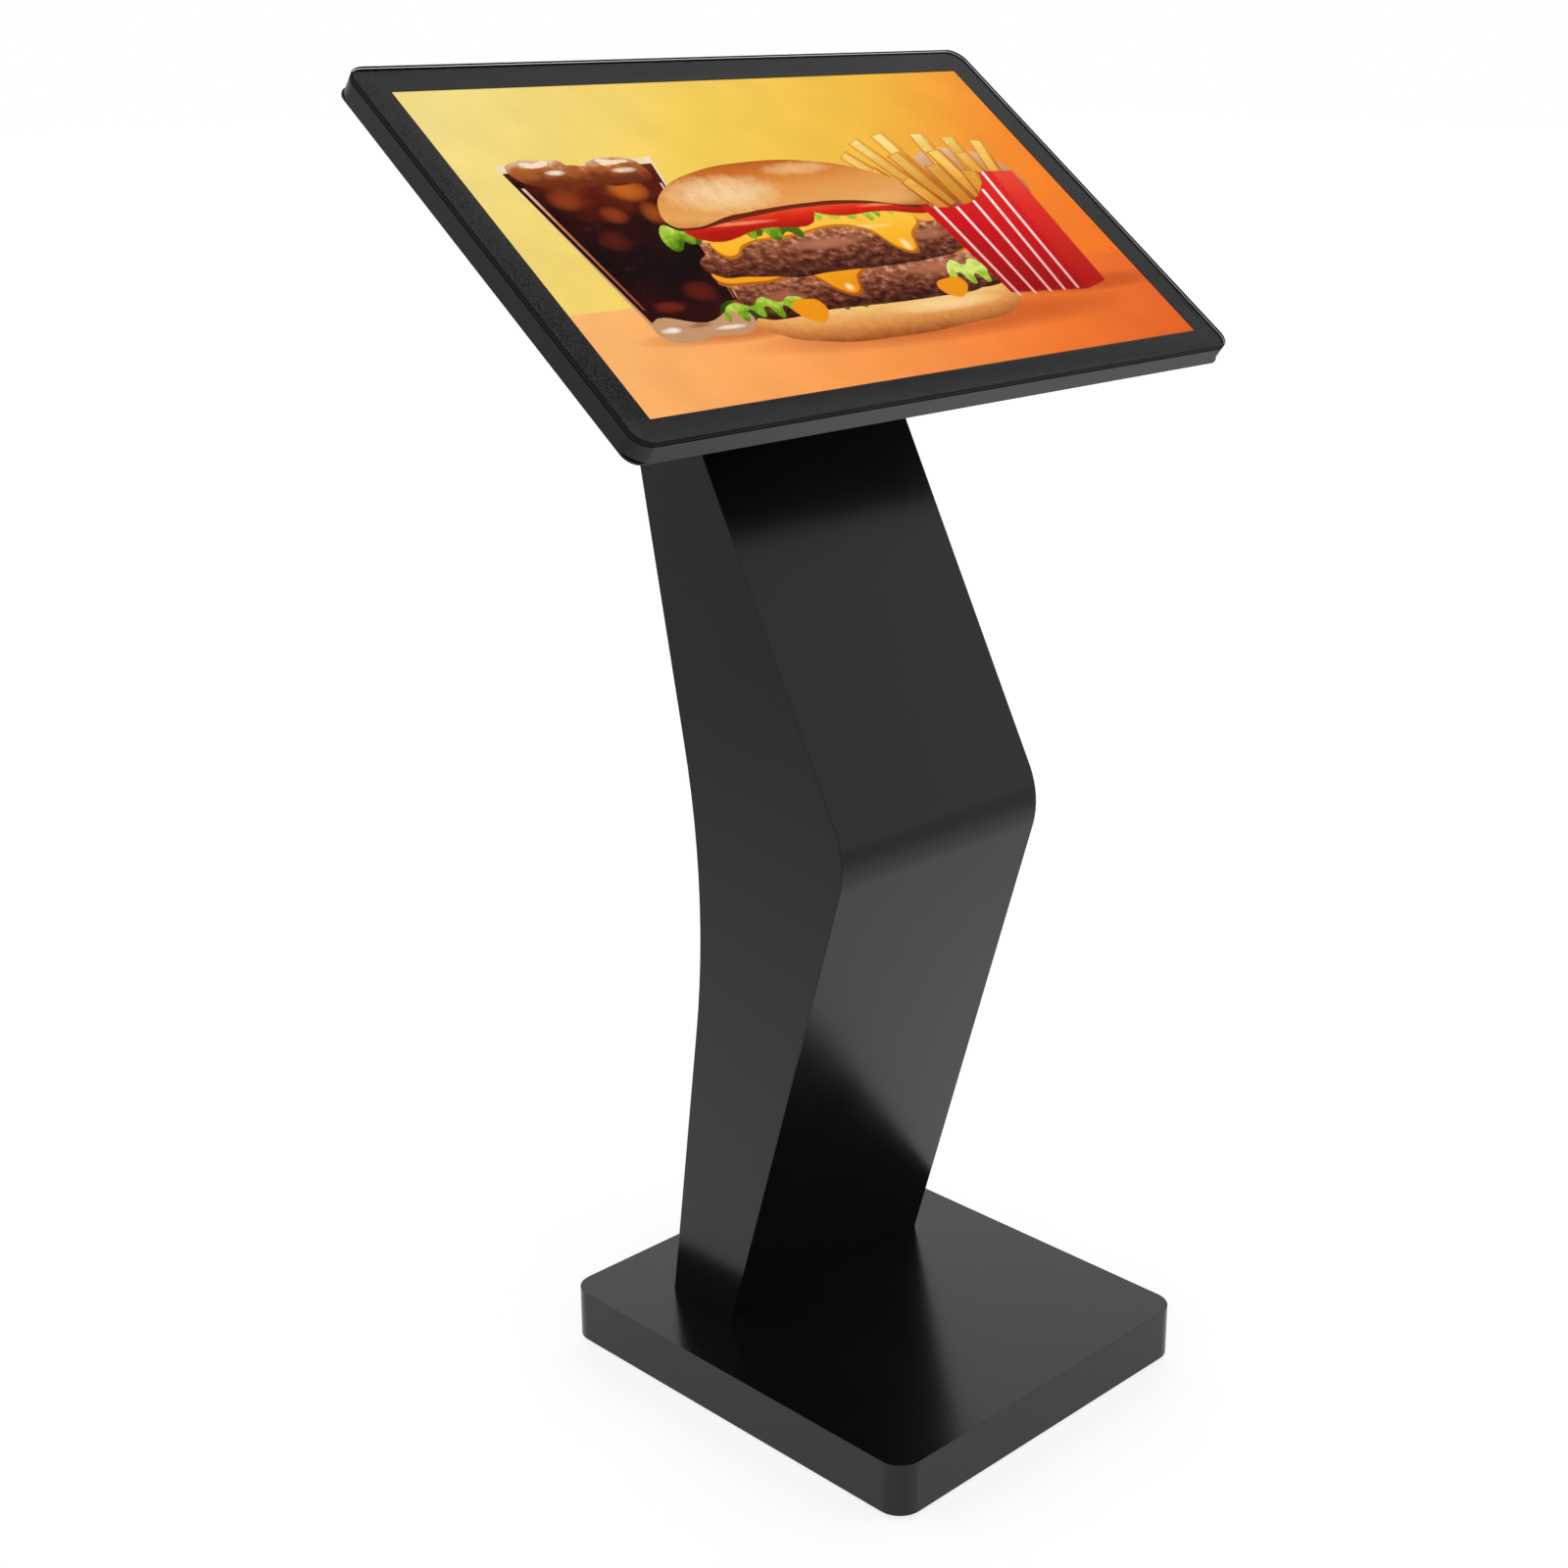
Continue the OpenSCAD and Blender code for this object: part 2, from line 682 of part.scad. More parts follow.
module lock_cam() color(zinc) at_lock() {
    top = -lock_body_depth - moving_gap;
    translate([0, 0, top - lock_cam_size.z]) {
        cylinder(r = lock_cam_size.x / 2, h = lock_cam_size.z);
        translate([-lock_cam_size.x / 2, -lock_cam_size.y, 0])
            cube([lock_cam_size.x, lock_cam_size.y, lock_cam_size.z]);
    }
    translate([0, 0, top - lock_cam_size.z - lock_cam_nut.y])
        cylinder(r = lock_cam_nut.x, h = lock_cam_nut.y, $fn = 6);
}

// ---- power supply and mains inlet ----
supply_rear = column_sheet + supply_bracket_height;
supply_mid = supply_low + supply_size.y / 2;

module supply_bracket() color(zinc) front_face() translate([0, supply_mid, 0]) {
    sheet = supply_bracket_sheet;
    box([supply_size.x, supply_size.y, sheet], supply_rear - sheet);
    for (side = [-1, 1]) {
        translate([side * (supply_size.x - sheet) / 2, 0, 0])
            box([sheet, supply_size.y, supply_bracket_height - sheet], column_sheet);
        translate([side * (supply_size.x - supply_bracket_foot) / 2, 0, 0])
            box([supply_bracket_foot, supply_size.y, sheet], column_sheet);
    }
}

module power_supply() color("#8d9194") front_face() translate([0, supply_mid, 0]) difference() {
    box(supply_size, supply_rear);
    for (i = [-6 : 6])
        translate([i * 2 * supply_vents.x, 0, supply_rear + supply_size.z - past])
            box([supply_vents.x, supply_vents.y, 2 * past], 0);
}

rocker_pin_length = rocker_hole.x + 2 * rocker_pin.y;

module at_inlet() rear_face() translate([0, inlet_up, 0]) children();

module at_rocker() translate([rocker_x, 0, rocker_pivot_z]) children();

module inlet_body() color(plastic_black) at_inlet() difference() {
    union() {
        box(inlet_flange, 0);
        box(inlet_box, -inlet_box.z);
    }
    translate([socket_x, 0, 0])
        box([socket_size.x, socket_size.y, socket_size.z + past], inlet_flange.z - socket_size.z);
    translate([rocker_x, 0, 0])
        box([rocker_hole.x, rocker_hole.y, rocker_hole.z + past], inlet_flange.z - rocker_hole.z);
    at_rocker() rotate([0, 90, 0])
        cylinder(r = rocker_pin.x + running_fit, h = rocker_pin_length + moving_gap, center = true);
    at_blades() box([blade_size.x, blade_size.y, inlet_box.z + 2 * past], -inlet_box.z - past);
}

module at_blades() translate([socket_x, 0, 0])
    at_each([[-blade_pitch, -blade_rise / 2], [0, blade_rise / 2], [blade_pitch, -blade_rise / 2]]) children();

module inlet_blades() color("#c9a45a") at_inlet() at_blades()
    box([blade_size.x, blade_size.y, inlet_box.z + blade_tail - blade_tip], -inlet_box.z - blade_tail);

// The rocker, tipped to its off position, with its two pivot pins
module inlet_rocker() color("#7c1612") at_inlet() at_rocker() rotate([rocker_tilt, 0, 0]) {
    half = rocker_size.y / 2;
    along_x(rocker_size.x) polygon([
        [-half, -rocker_dip], [-half, rocker_ear + rocker_dip], [0, rocker_ear],
        [half, rocker_ear + rocker_dip], [half, -rocker_dip],
        [rocker_dip, -rocker_depth], [-rocker_dip, -rocker_depth]
    ]);
    rotate([0, 90, 0]) cylinder(r = rocker_pin.x, h = rocker_pin_length, center = true);
}

module inlet_lead() color(rubber_black) kiosk() lead(inlet_route);
module head_lead() color(rubber_black) kiosk() lead(head_route);

// ---- neck ----
module at_neck() head() translate([0, neck_offset, 0]) children();

module at_head_bolts() at_each([
    for (sx = [-0.5, 0.5], sy = [-0.5, 0.5]) [sx * head_bolt_pitch.x, sy * head_bolt_pitch.y]
]) children();

module neck_bracket() color(paint) at_neck() difference() {
    union() {
        box([neck_lower_plate.x, column_top_depth - 2 * column_sheet, neck_lower_plate.y], neck_rear);
        box([neck_box.x, neck_box.y, neck_height], neck_rear);
        box(neck_upper_plate, housing_rear - neck_upper_plate.z);
    }
    box([
        neck_box.x - 2 * neck_box_sheet, neck_box.y - 2 * neck_box_sheet,
        neck_height - neck_lower_plate.y - neck_upper_plate.z
    ], neck_rear + neck_lower_plate.y);
    translate([0, 0, neck_rear - past]) cylinder(r = lead_hole_r, h = neck_height / 2);
    translate([0, 0, neck_rear + neck_height / 2]) cylinder(r = mount_hole_r, h = neck_height);
    at_each([for (x = neck_bolt_x) [x, 0]])
        translate([0, 0, neck_rear - past]) cylinder(r = m8_r + bolt_gap, h = neck_height / 2);
    at_head_bolts() translate([0, 0, neck_rear]) cylinder(r = m6_r + bolt_gap, h = 2 * neck_height);
}

module neck_bolts() color(zinc) at_neck() at_each([for (x = neck_bolt_x) [x, 0]])
    translate([0, 0, neck_rear + neck_lower_plate.y]) mirror([0, 0, 1])
        fastener(m8_head, m8_r, neck_lower_plate.y + top_plate_thickness, 6);

module head_bolts() color(zinc) at_neck() at_head_bolts()
    translate([0, 0, housing_rear - neck_upper_plate.z])
        fastener(m6_head, m6_r, head_bolt_length, 6);

module mount_plate() color(zinc) at_neck() difference() {
    box(mount_plate_size, floor_front);
    translate([0, 0, floor_front - past]) cylinder(r = mount_hole_r, h = 2 * mount_plate_size.z);
    at_head_bolts() translate([0, 0, floor_front - past]) cylinder(r = m6_r, h = 2 * mount_plate_size.z);
}

// ---- rear housing ----
housing_size = [housing_width, housing_height];
flange_size = housing_size + 2 * [housing_flange, housing_flange];
housing_low_v = housing_v - housing_height / 2;

module at_housing() head() translate([0, housing_v, 0]) children();

module at_housing_screws() at_each([
    for (sx = [-1, 1], j = [-1, 0, 1])
        [sx * (housing_width + housing_flange) / 2, j * (housing_height / 2 - housing_flange)],
    for (sy = [-1, 1], i = [-0.5, 0.5])
        [i * housing_width / 2, sy * (housing_height + housing_flange) / 2]
]) children();

// A row of slots through the housing's rear wall
module vents(count, slot) at_each([for (i = [0 : count - 1]) [(i - (count - 1) / 2) * vent_pitch, 0]])
    box([slot.x, slot.y, housing_sheet + 2 * past], housing_rear - past);

module rear_housing() color(paint) difference() {
    at_housing() {
        slab(housing_size, housing_corner_r, plate_rear, housing_depth);
        slab(flange_size, housing_corner_r, plate_rear, housing_sheet);
    }
    at_housing() {
        slab(housing_size - 2 * [housing_sheet, housing_sheet], housing_corner_r - housing_sheet,
            plate_rear + past, housing_depth - housing_sheet + past);
        at_housing_screws() translate([0, 0, plate_rear - 2 * housing_sheet])
            cylinder(r = m3_r + bolt_gap, h = 3 * housing_sheet);
    }
    at_neck() {
        translate([0, 0, housing_rear - past]) cylinder(r = mount_hole_r, h = housing_sheet + 2 * past);
        at_head_bolts() translate([0, 0, housing_rear - past])
            cylinder(r = m6_r + bolt_gap, h = housing_sheet + 2 * past);
    }
    head() {
        for (side = [-1, 1]) translate([side * intake_place.x, intake_place.y, 0])
            vents(intake_count, intake_vent);
        for (side = [-1, 1]) translate([fan_place.x, fan_place.y + side * fan_vent.z, 0])
            vents(fan_vent_count, fan_vent);
        for (side = [-1, 1], i = [-4 : 4])
            translate([side * speaker_u + i * vent_pitch, housing_low_v, 0])
                box([sound_slot.x, 4 * housing_sheet, sound_slot.y], floor_front + vent_pitch / 2);
    }
    at_button() cylinder(r = button_barrel.x, h = 4 * housing_sheet, center = true);
}

// ---- head shell ----
module at_head() head() translate([0, head_mid_v, 0]) children();

module at_plate_screws() at_each([
    for (sx = [-1, 1], j = [-1, 0, 1])
        [sx * (head_size.x - plate_lip) / 2, j * (head_size.y / 2 - plate_screw_end)],
    for (sy = [-1, 1], i = [-1.5, -0.5, 0.5, 1.5])
        [i * (head_size.x - 2 * plate_screw_end) / 3, sy * (head_size.y - plate_lip) / 2]
]) children();

module back_plate() color(paint) difference() {
    at_head() slab(head_size, plate_corner_r, plate_rear + plate_sheet, plate_sheet);
    at_head() at_plate_screws() translate([0, 0, plate_rear - past])
        cylinder(r = m3_r + bolt_gap, h = plate_sheet + 2 * past);
    at_housing() at_housing_screws() translate([0, 0, plate_rear - past])
        cylinder(r = m3_r, h = plate_sheet + 2 * past);
    head() translate([0, rear_cutout_v, 0])
        box([rear_cutout.x, rear_cutout.y, plate_sheet + 2 * past], plate_rear - past);
}

// The small screws that hold the back plate to the frame and the rear housing to the back plate
module plate_screws() color(zinc) {
    at_head() at_plate_screws() translate([0, 0, plate_rear])
        fastener(m3_head, m3_r, plate_sheet + frame_sheet);
    at_housing() at_housing_screws() translate([0, 0, plate_rear - housing_sheet])
        fastener(m3_head, m3_r, m3_length);
}

module at_camera() head() translate([0, head_top_v - camera_inset, 0]) children();

module head_frame() color(paint) difference() {
    at_head() difference() {
        slab(head_size, head_corner_r, frame_front, frame_front - plate_front);
        slab(head_size - 2 * [frame_sheet, frame_sheet], head_corner_r - frame_sheet,
            backlight_front, backlight_front - plate_front - frame_sheet);
        slab(head_size - 2 * [plate_lip, plate_lip], frame_sheet,
            plate_front + 2 * frame_sheet, 3 * frame_sheet);
        at_plate_screws() translate([0, 0, plate_front - past]) cylinder(r = m3_r, h = frame_sheet + 2 * past);
    }
    head() box([cell_size.x, cell_size.y, 3 * frame_sheet] + 2 * [cell_gap, cell_gap, 0],
        backlight_front - frame_sheet);
    at_camera() translate([0, 0, backlight_front - past])
        cylinder(r = camera_barrel_r + bolt_gap, h = frame_sheet + 2 * past);
}

module panel_clips() color(zinc) at_head()
    for (turn = [0, 180], i = [-1.5, -0.5, 0.5, 1.5])
    rotate([0, 0, turn]) translate([i * head_size.x / 4, 0, 0]) {
        wall = head_size.y / 2 - frame_sheet;
        translate([-clip_size.x / 2, wall - clip_size.y, backlight_rear - frame_sheet])
            cube([clip_size.x, clip_size.y, frame_sheet]);
        translate([-clip_size.x / 2, wall - frame_sheet, backlight_rear - frame_sheet])
            cube([clip_size.x, frame_sheet, clip_leg]);
    }

module backlight_unit() color("#b9bdbf") head() box(backlight_size, backlight_rear);

module display_panel() color("#e0902a") head()
    box([cell_size.x, cell_size.y, gasket_front - backlight_front], backlight_front);

module glass_gasket() color(rubber_black) difference() {
    at_head() difference() {
        slab(head_size - 2 * [gasket_inset, gasket_inset], head_corner_r - gasket_inset,
            gasket_front, gasket_thickness);
        slab(head_size - 2 * [gasket_inset + gasket_width, gasket_inset + gasket_width],
            head_corner_r - gasket_inset - gasket_width, gasket_front + past, gasket_thickness + 2 * past);
    }
    at_camera() translate([0, 0, frame_front - past])
        cylinder(r = camera_barrel_r + bolt_gap, h = gasket_thickness + 2 * past);
}

module border_print() color(plastic_black) difference() {
    at_head() slab(head_size - 2 * [print_inset, print_inset], head_corner_r - print_inset,
        print_front, print_thickness);
    head() box([screen_width, screen_height, print_thickness + 2 * past], gasket_front - past);
    at_camera() translate([0, 0, gasket_front - past])
        cylinder(r = camera_window_r, h = 2 * past + print_thickness);
}

module touch_glass() color("#2b2e31", 0.4) at_head() slab(head_size, head_corner_r, 0, glass_thickness);

module camera_module() color(plastic_black) at_camera() {
    translate([0, 0, backlight_front]) cylinder(r = camera_barrel_r, h = gasket_front - backlight_front);
    translate([0, -camera_block.y / 2 + camera_inset - frame_sheet - moving_gap, 0]) {
        box(camera_block, backlight_front - camera_block.z);
        box(camera_board, backlight_front - camera_block.z - camera_board.z);
    }
}

// ---- boards, fan, speakers and button ----
module board(size, place) translate([place.x, place.y, 0]) {
    box([size.x, size.y, board_sheet], board_rear);
    at_each([
        for (sx = [-1, 1], sy = [-1, 1])
            [sx * (size.x / 2 - standoff_inset), sy * (size.y / 2 - standoff_inset)]
    ]) translate([0, 0, floor_front]) cylinder(r = standoff_r, h = standoff_height);
}

module circuit_boards() color(board_green) head() {
    board(main_board_size, main_board_place);
    board(touch_board_size, touch_board_place);
    board(driver_board_size, driver_board_place);
}

module heat_sink() color("#9ea2a5") head() translate([sink_place.x, sink_place.y, 0]) {
    box(sink_size, board_front);
    for (i = [0 : sink_fin_count - 1])
        translate([(i / (sink_fin_count - 1) - 0.5) * (sink_size.x - sink_fin.x), 0, 0])
            box([sink_fin.x, sink_size.y, sink_fin.y], board_front + sink_size.z);
}

module at_fan() head() translate([fan_place.x, fan_place.y, floor_front]) children();

module fan_frame() color(plastic_black) at_fan() difference() {
    union() {
        difference() {
            box([fan_size, fan_size, fan_depth], 0);
            translate([0, 0, -past]) cylinder(r = fan_hole_r, h = fan_depth + 2 * past);
        }
        cylinder(r = fan_hub_r, h = fan_spoke_depth);
        for (a = [45, 135]) rotate([0, 0, a])
            box([2 * fan_hole_r + past, fan_spoke, fan_spoke_depth], 0);
    }
    translate([0, 0, -past]) cylinder(r = fan_shaft_r + running_fit, h = fan_spoke_depth + 2 * past);
}

module fan_rotor() color(plastic_black) at_fan() {
    low = fan_spoke_depth + fan_rotor_gap;
    high = fan_depth - fan_rotor_gap;
    translate([0, 0, moving_gap]) cylinder(r = fan_shaft_r, h = low);
    translate([0, 0, low]) cylinder(r = fan_hub_r, h = high - low);
    intersection() {
        translate([0, 0, low]) cylinder(r = fan_blade_tip_r, h = high - low);
        for (i = [0 : fan_blade_count - 1]) rotate([0, 0, i * 360 / fan_blade_count])
            translate([fan_hub_r - past, 0, (low + high) / 2]) rotate([fan_pitch, 0, 0])
                translate([0, -fan_blade.y / 2, -fan_blade.x / 2])
                    cube([fan_hole_r, fan_blade.y, fan_blade.x]);
    }
}

module speakers() color(plastic_black) head() for (side = [-1, 1])
    translate([side * speaker_u, housing_low_v + housing_sheet + speaker_box.y / 2, 0]) difference() {
        box(speaker_box, floor_front);
        translate([0, -speaker_box.y / 2, floor_front + speaker_box.z / 2]) rotate([-90, 0, 0])
            cylinder(r1 = speaker_cone.x, r2 = speaker_cone.y, h = speaker_cone.z);
    }

// Frame of the power button: z out of the housing's right wall
module at_button() head()
    translate([housing_width / 2, button_place.x, plate_rear + button_place.y]) rotate([0, 90, 0]) children();

module button_bezel() color(zinc) at_button() difference() {
    union() {
        cylinder(r = button_bezel_size.x, h = button_bezel_size.y);
        translate([0, 0, -button_barrel.y]) cylinder(r = button_barrel.x, h = button_barrel.y);
    }
    translate([0, 0, -button_bore_depth])
        cylinder(r = button_r + running_fit, h = button_bore_depth + button_bezel_size.y + past);
}

module power_button() color(plastic_black) at_button()
    translate([0, 0, button_bezel_size.y + button_proud - button_length])
        cylinder(r = button_r, h = button_length);

base_shell();
ballast_plate();
base_pillars();
base_screws();
foot_bushes();
foot_stud(-1, -1);  // foot_stud_front_left
foot_stud(1, -1);  // foot_stud_front_right
foot_stud(-1, 1);  // foot_stud_rear_left
foot_stud(1, 1);  // foot_stud_rear_right
foot_pad(-1, -1);  // foot_pad_front_left
foot_pad(1, -1);  // foot_pad_front_right
foot_pad(-1, 1);  // foot_pad_rear_left
foot_pad(1, 1);  // foot_pad_rear_right
backing_plate();
column_foot_plate();
foot_bolts();
column_front_panel();
column_side(-1);  // column_side_left
column_side(1);  // column_side_right
column_rear_panel();
column_diaphragm();
column_top_plate();
door_surround();
door_seal();
service_door();
hinge_leaves_fixed();
hinge_leaves_door();
hinge_pins();
lock_body();
lock_plug();
lock_cam();
supply_bracket();
power_supply();
inlet_body();
inlet_blades();
inlet_rocker();
inlet_lead();
head_lead();
neck_bracket();
neck_bolts();
head_bolts();
mount_plate();
rear_housing();
back_plate();
plate_screws();
head_frame();
panel_clips();
backlight_unit();
display_panel();
glass_gasket();
border_print();
touch_glass();
camera_module();
circuit_boards();
heat_sink();
fan_frame();
fan_rotor();
speakers();
button_bezel();
power_button();
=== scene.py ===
# %% [markdown]
# A touchscreen kiosk for a museum or a shop: a slanted screen on a bent steel column, on a heavy
# base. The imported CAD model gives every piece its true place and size. This file gives the pieces
# the looks of the real object: small rounded edges, real screws, powder paint, zinc, rubber,
# glass, and the lit picture. We load the model first, because every later step measures from it.

# %% Load the model
import json
import math
import random

import bmesh
import bpy
from mathutils import Matrix, Vector


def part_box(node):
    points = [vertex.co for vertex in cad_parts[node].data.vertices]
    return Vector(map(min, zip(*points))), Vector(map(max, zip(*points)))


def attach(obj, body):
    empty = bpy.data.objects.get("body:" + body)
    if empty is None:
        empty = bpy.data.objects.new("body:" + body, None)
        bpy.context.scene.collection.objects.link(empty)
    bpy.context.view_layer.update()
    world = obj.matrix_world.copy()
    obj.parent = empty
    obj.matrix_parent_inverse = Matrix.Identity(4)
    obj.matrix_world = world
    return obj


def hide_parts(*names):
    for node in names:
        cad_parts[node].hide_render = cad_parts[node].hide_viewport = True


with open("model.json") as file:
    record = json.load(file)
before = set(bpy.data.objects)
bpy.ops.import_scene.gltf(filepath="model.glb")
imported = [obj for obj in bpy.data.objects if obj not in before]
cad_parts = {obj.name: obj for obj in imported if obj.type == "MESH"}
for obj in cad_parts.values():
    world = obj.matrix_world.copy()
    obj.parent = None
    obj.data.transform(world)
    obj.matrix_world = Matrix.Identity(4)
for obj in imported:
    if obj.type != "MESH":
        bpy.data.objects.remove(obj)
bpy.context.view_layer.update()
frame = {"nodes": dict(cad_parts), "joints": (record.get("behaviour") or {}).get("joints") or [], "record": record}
nodes = frame["nodes"]

# %% [markdown]
# The kiosk is seen from its front left corner, from a little above the screen, with a longish
# lens. A camera is a place, a direction and a lens. The small shift slides the picture in its
# frame without tilting the camera, so that upright edges keep their slant.

# %% Camera
CAMERA_PLACE = (-1.5615, -1.4910, 1.3182)
CAMERA_YAW = 45.16
CAMERA_PITCH = -17.56
camera_data = bpy.data.cameras.new("camera")
camera_data.sensor_width = 36
camera_data.lens = 55.24
camera_data.shift_x = -0.0205
camera_data.shift_y = -0.0255
camera = bpy.data.objects.new("camera", camera_data)
camera.location = CAMERA_PLACE
camera.rotation_euler = (math.radians(90 + CAMERA_PITCH), 0, math.radians(-CAMERA_YAW))
bpy.context.scene.collection.objects.link(camera)
bpy.context.scene.camera = camera
print("camera stands", round(camera.location.length, 2), "m from the kiosk's foot")

# %% [markdown]
# The room is a bright studio with no walls in sight. Black gloss paint shows little of its own
# colour: what we see in it is the room. So the room is an even, pale light on all sides, a little
# darker overhead, and one large soft lamp stands behind on the right, where the top of the base
# mirrors it. The floor is plain and pale.

# %% Studio
scene = bpy.context.scene
scene.view_settings.view_transform = "Standard"
ROOM_LIGHT, CEILING_LIGHT, SEEN_LIGHT = 0.72, 0.50, 1.0
FALL_STARTS, FALL_ENDS = 0.45, 0.85  # heights in the sky, 0 level and 1 overhead
world = bpy.data.worlds.new("studio")
world.use_nodes = True
room = world.node_tree
room_light = room.nodes["Background"]
room_light.inputs["Color"].default_value = (1, 1, 1, 1)
seen = room.nodes.new("ShaderNodeLightPath")
direction = room.nodes.new("ShaderNodeSeparateXYZ")
room.links.new(room.nodes.new("ShaderNodeTexCoord").outputs["Generated"], direction.inputs[0])
height = room.nodes.new("ShaderNodeMapRange")
for socket, value in zip(height.inputs[1:5], (FALL_STARTS, FALL_ENDS, ROOM_LIGHT, CEILING_LIGHT)):
    socket.default_value = value
room.links.new(direction.outputs["Z"], height.inputs["Value"])
level = room.nodes.new("ShaderNodeMapRange")
level.inputs["To Max"].default_value = SEEN_LIGHT
room.links.new(seen.outputs["Is Camera Ray"], level.inputs["Value"])
room.links.new(height.outputs["Result"], level.inputs["To Min"])
room.links.new(level.outputs["Result"], room_light.inputs["Strength"])
scene.world = world


def soft_lamp(name, place, aim, size, radiance):
    """A large square lamp, turned to face a point; radiance is how bright its face looks."""
    data = bpy.data.lights.new(name, "AREA")
    data.shape = "SQUARE"
    data.size = size
    data.energy = radiance * math.pi * size * size
    lamp = bpy.data.objects.new(name, data)
    lamp.location = place
    lamp.rotation_euler = (Vector(aim) - Vector(place)).to_track_quat("-Z", "Y").to_euler()
    lamp.visible_camera = False
    scene.collection.objects.link(lamp)


LAMP_PLACE, LAMP_AIM = (2.9, 2.7, 2.4), (0, 0, 0.3)
LAMP_SIZE, LAMP_LIGHT = 2.5, 0.30
soft_lamp("lamp_rear", LAMP_PLACE, LAMP_AIM, LAMP_SIZE, LAMP_LIGHT)

# %% Floor
FLOOR_SIZE = 40
bpy.ops.mesh.primitive_plane_add(size=FLOOR_SIZE, location=(0, 0, 0))
floor = bpy.context.object
floor.name = "floor"

# %% [markdown]
# Materials come next. A shader reads the place of a point on the piece, so all patterns have real
# sizes: a noise of scale 1000 has grains of about a millimetre. Patterns that several materials
# use are node groups with named inputs and outputs. These helpers keep the node work short.

# %% Helpers for shader nodes
def add_node(tree, kind, inputs=None, **settings):
    """A shader node with its settings and its input values."""
    made = tree.nodes.new(kind)
    for key, value in settings.items():
        setattr(made, key, value)
    for key, value in (inputs or {}).items():
        made.inputs[key].default_value = value
    return made


def new_group(name, inputs, outputs):
    """An empty node group; inputs are {name: value}, outputs are {name: socket type}."""
    tree = bpy.data.node_groups.new(name, "ShaderNodeTree")
    for key, value in inputs.items():
        socket = tree.interface.new_socket(key, in_out="INPUT", socket_type="NodeSocketFloat")
        socket.default_value = value
    for key, kind in outputs.items():
        tree.interface.new_socket(key, in_out="OUTPUT", socket_type=kind)
    return tree, add_node(tree, "NodeGroupInput"), add_node(tree, "NodeGroupOutput")


def use_group(tree, group, **values):
    """A group placed in a material, with its own values."""
    made = add_node(tree, "ShaderNodeGroup", node_tree=group)
    for key, value in values.items():
        made.inputs[key].default_value = value
    return made


def maths(tree, operation, a, b=0.0, clamp=False):
    """A Math node; a and b are sockets or numbers."""
    made = add_node(tree, "ShaderNodeMath", operation=operation, use_clamp=clamp)
    for socket, value in zip(made.inputs, (a, b)):
        if isinstance(value, (int, float)):
            socket.default_value = value
        else:
            tree.links.new(value, socket)
    return made.outputs[0]


def span(tree, value, low, high, to_low=0.0, to_high=1.0):
    """A value moved from one span to another, and kept inside it."""
    made = add_node(tree, "ShaderNodeMapRange", {1: low, 2: high, 3: to_low, 4: to_high})
    tree.links.new(value, made.inputs[0])
    return made.outputs[0]


def mix_colour(tree, share, a, b):
    """A mix of two colours; each is a socket or three numbers."""
    made = add_node(tree, "ShaderNodeMix", data_type="RGBA")
    if isinstance(share, (int, float)):
        made.inputs[0].default_value = share
    else:
        tree.links.new(share, made.inputs[0])
    for socket, value in ((made.inputs[6], a), (made.inputs[7], b)):
        if isinstance(value, (tuple, list)):
            socket.default_value = (*value, 1)
        else:
            tree.links.new(value, socket)
    return made.outputs[2]


def place_of(tree):
    """The place of a point on the piece, in metres."""
    return add_node(tree, "ShaderNodeTexCoord").outputs["Object"]


def new_material(name, base, roughness, metallic=0.0):
    """A material with its Principled shader and plain starting values."""
    material = bpy.data.materials.new(name)
    material.use_nodes = True
    shader = material.node_tree.nodes["Principled BSDF"]
    shader.inputs["Base Color"].default_value = (*base, 1)
    shader.inputs["Roughness"].default_value = roughness
    shader.inputs["Metallic"].default_value = metallic
    return material, material.node_tree, shader


def add_bump(tree, shader, height, distance, strength=1.0):
    """Fine relief in the normals, from a height."""
    bump = add_node(tree, "ShaderNodeBump", {"Distance": distance, "Strength": strength})
    tree.links.new(height, bump.inputs["Height"])
    tree.links.new(bump.outputs["Normal"], shader.inputs["Normal"])


# %% [markdown]
# Every painted, plated or moulded surface has two scales of unevenness: a fine grain that the
# finish itself has, and slow, soft patches from handling and from the way it was made. One group
# makes both, from two noises: the grain goes to the relief, and the patches to the colour and the
# roughness.

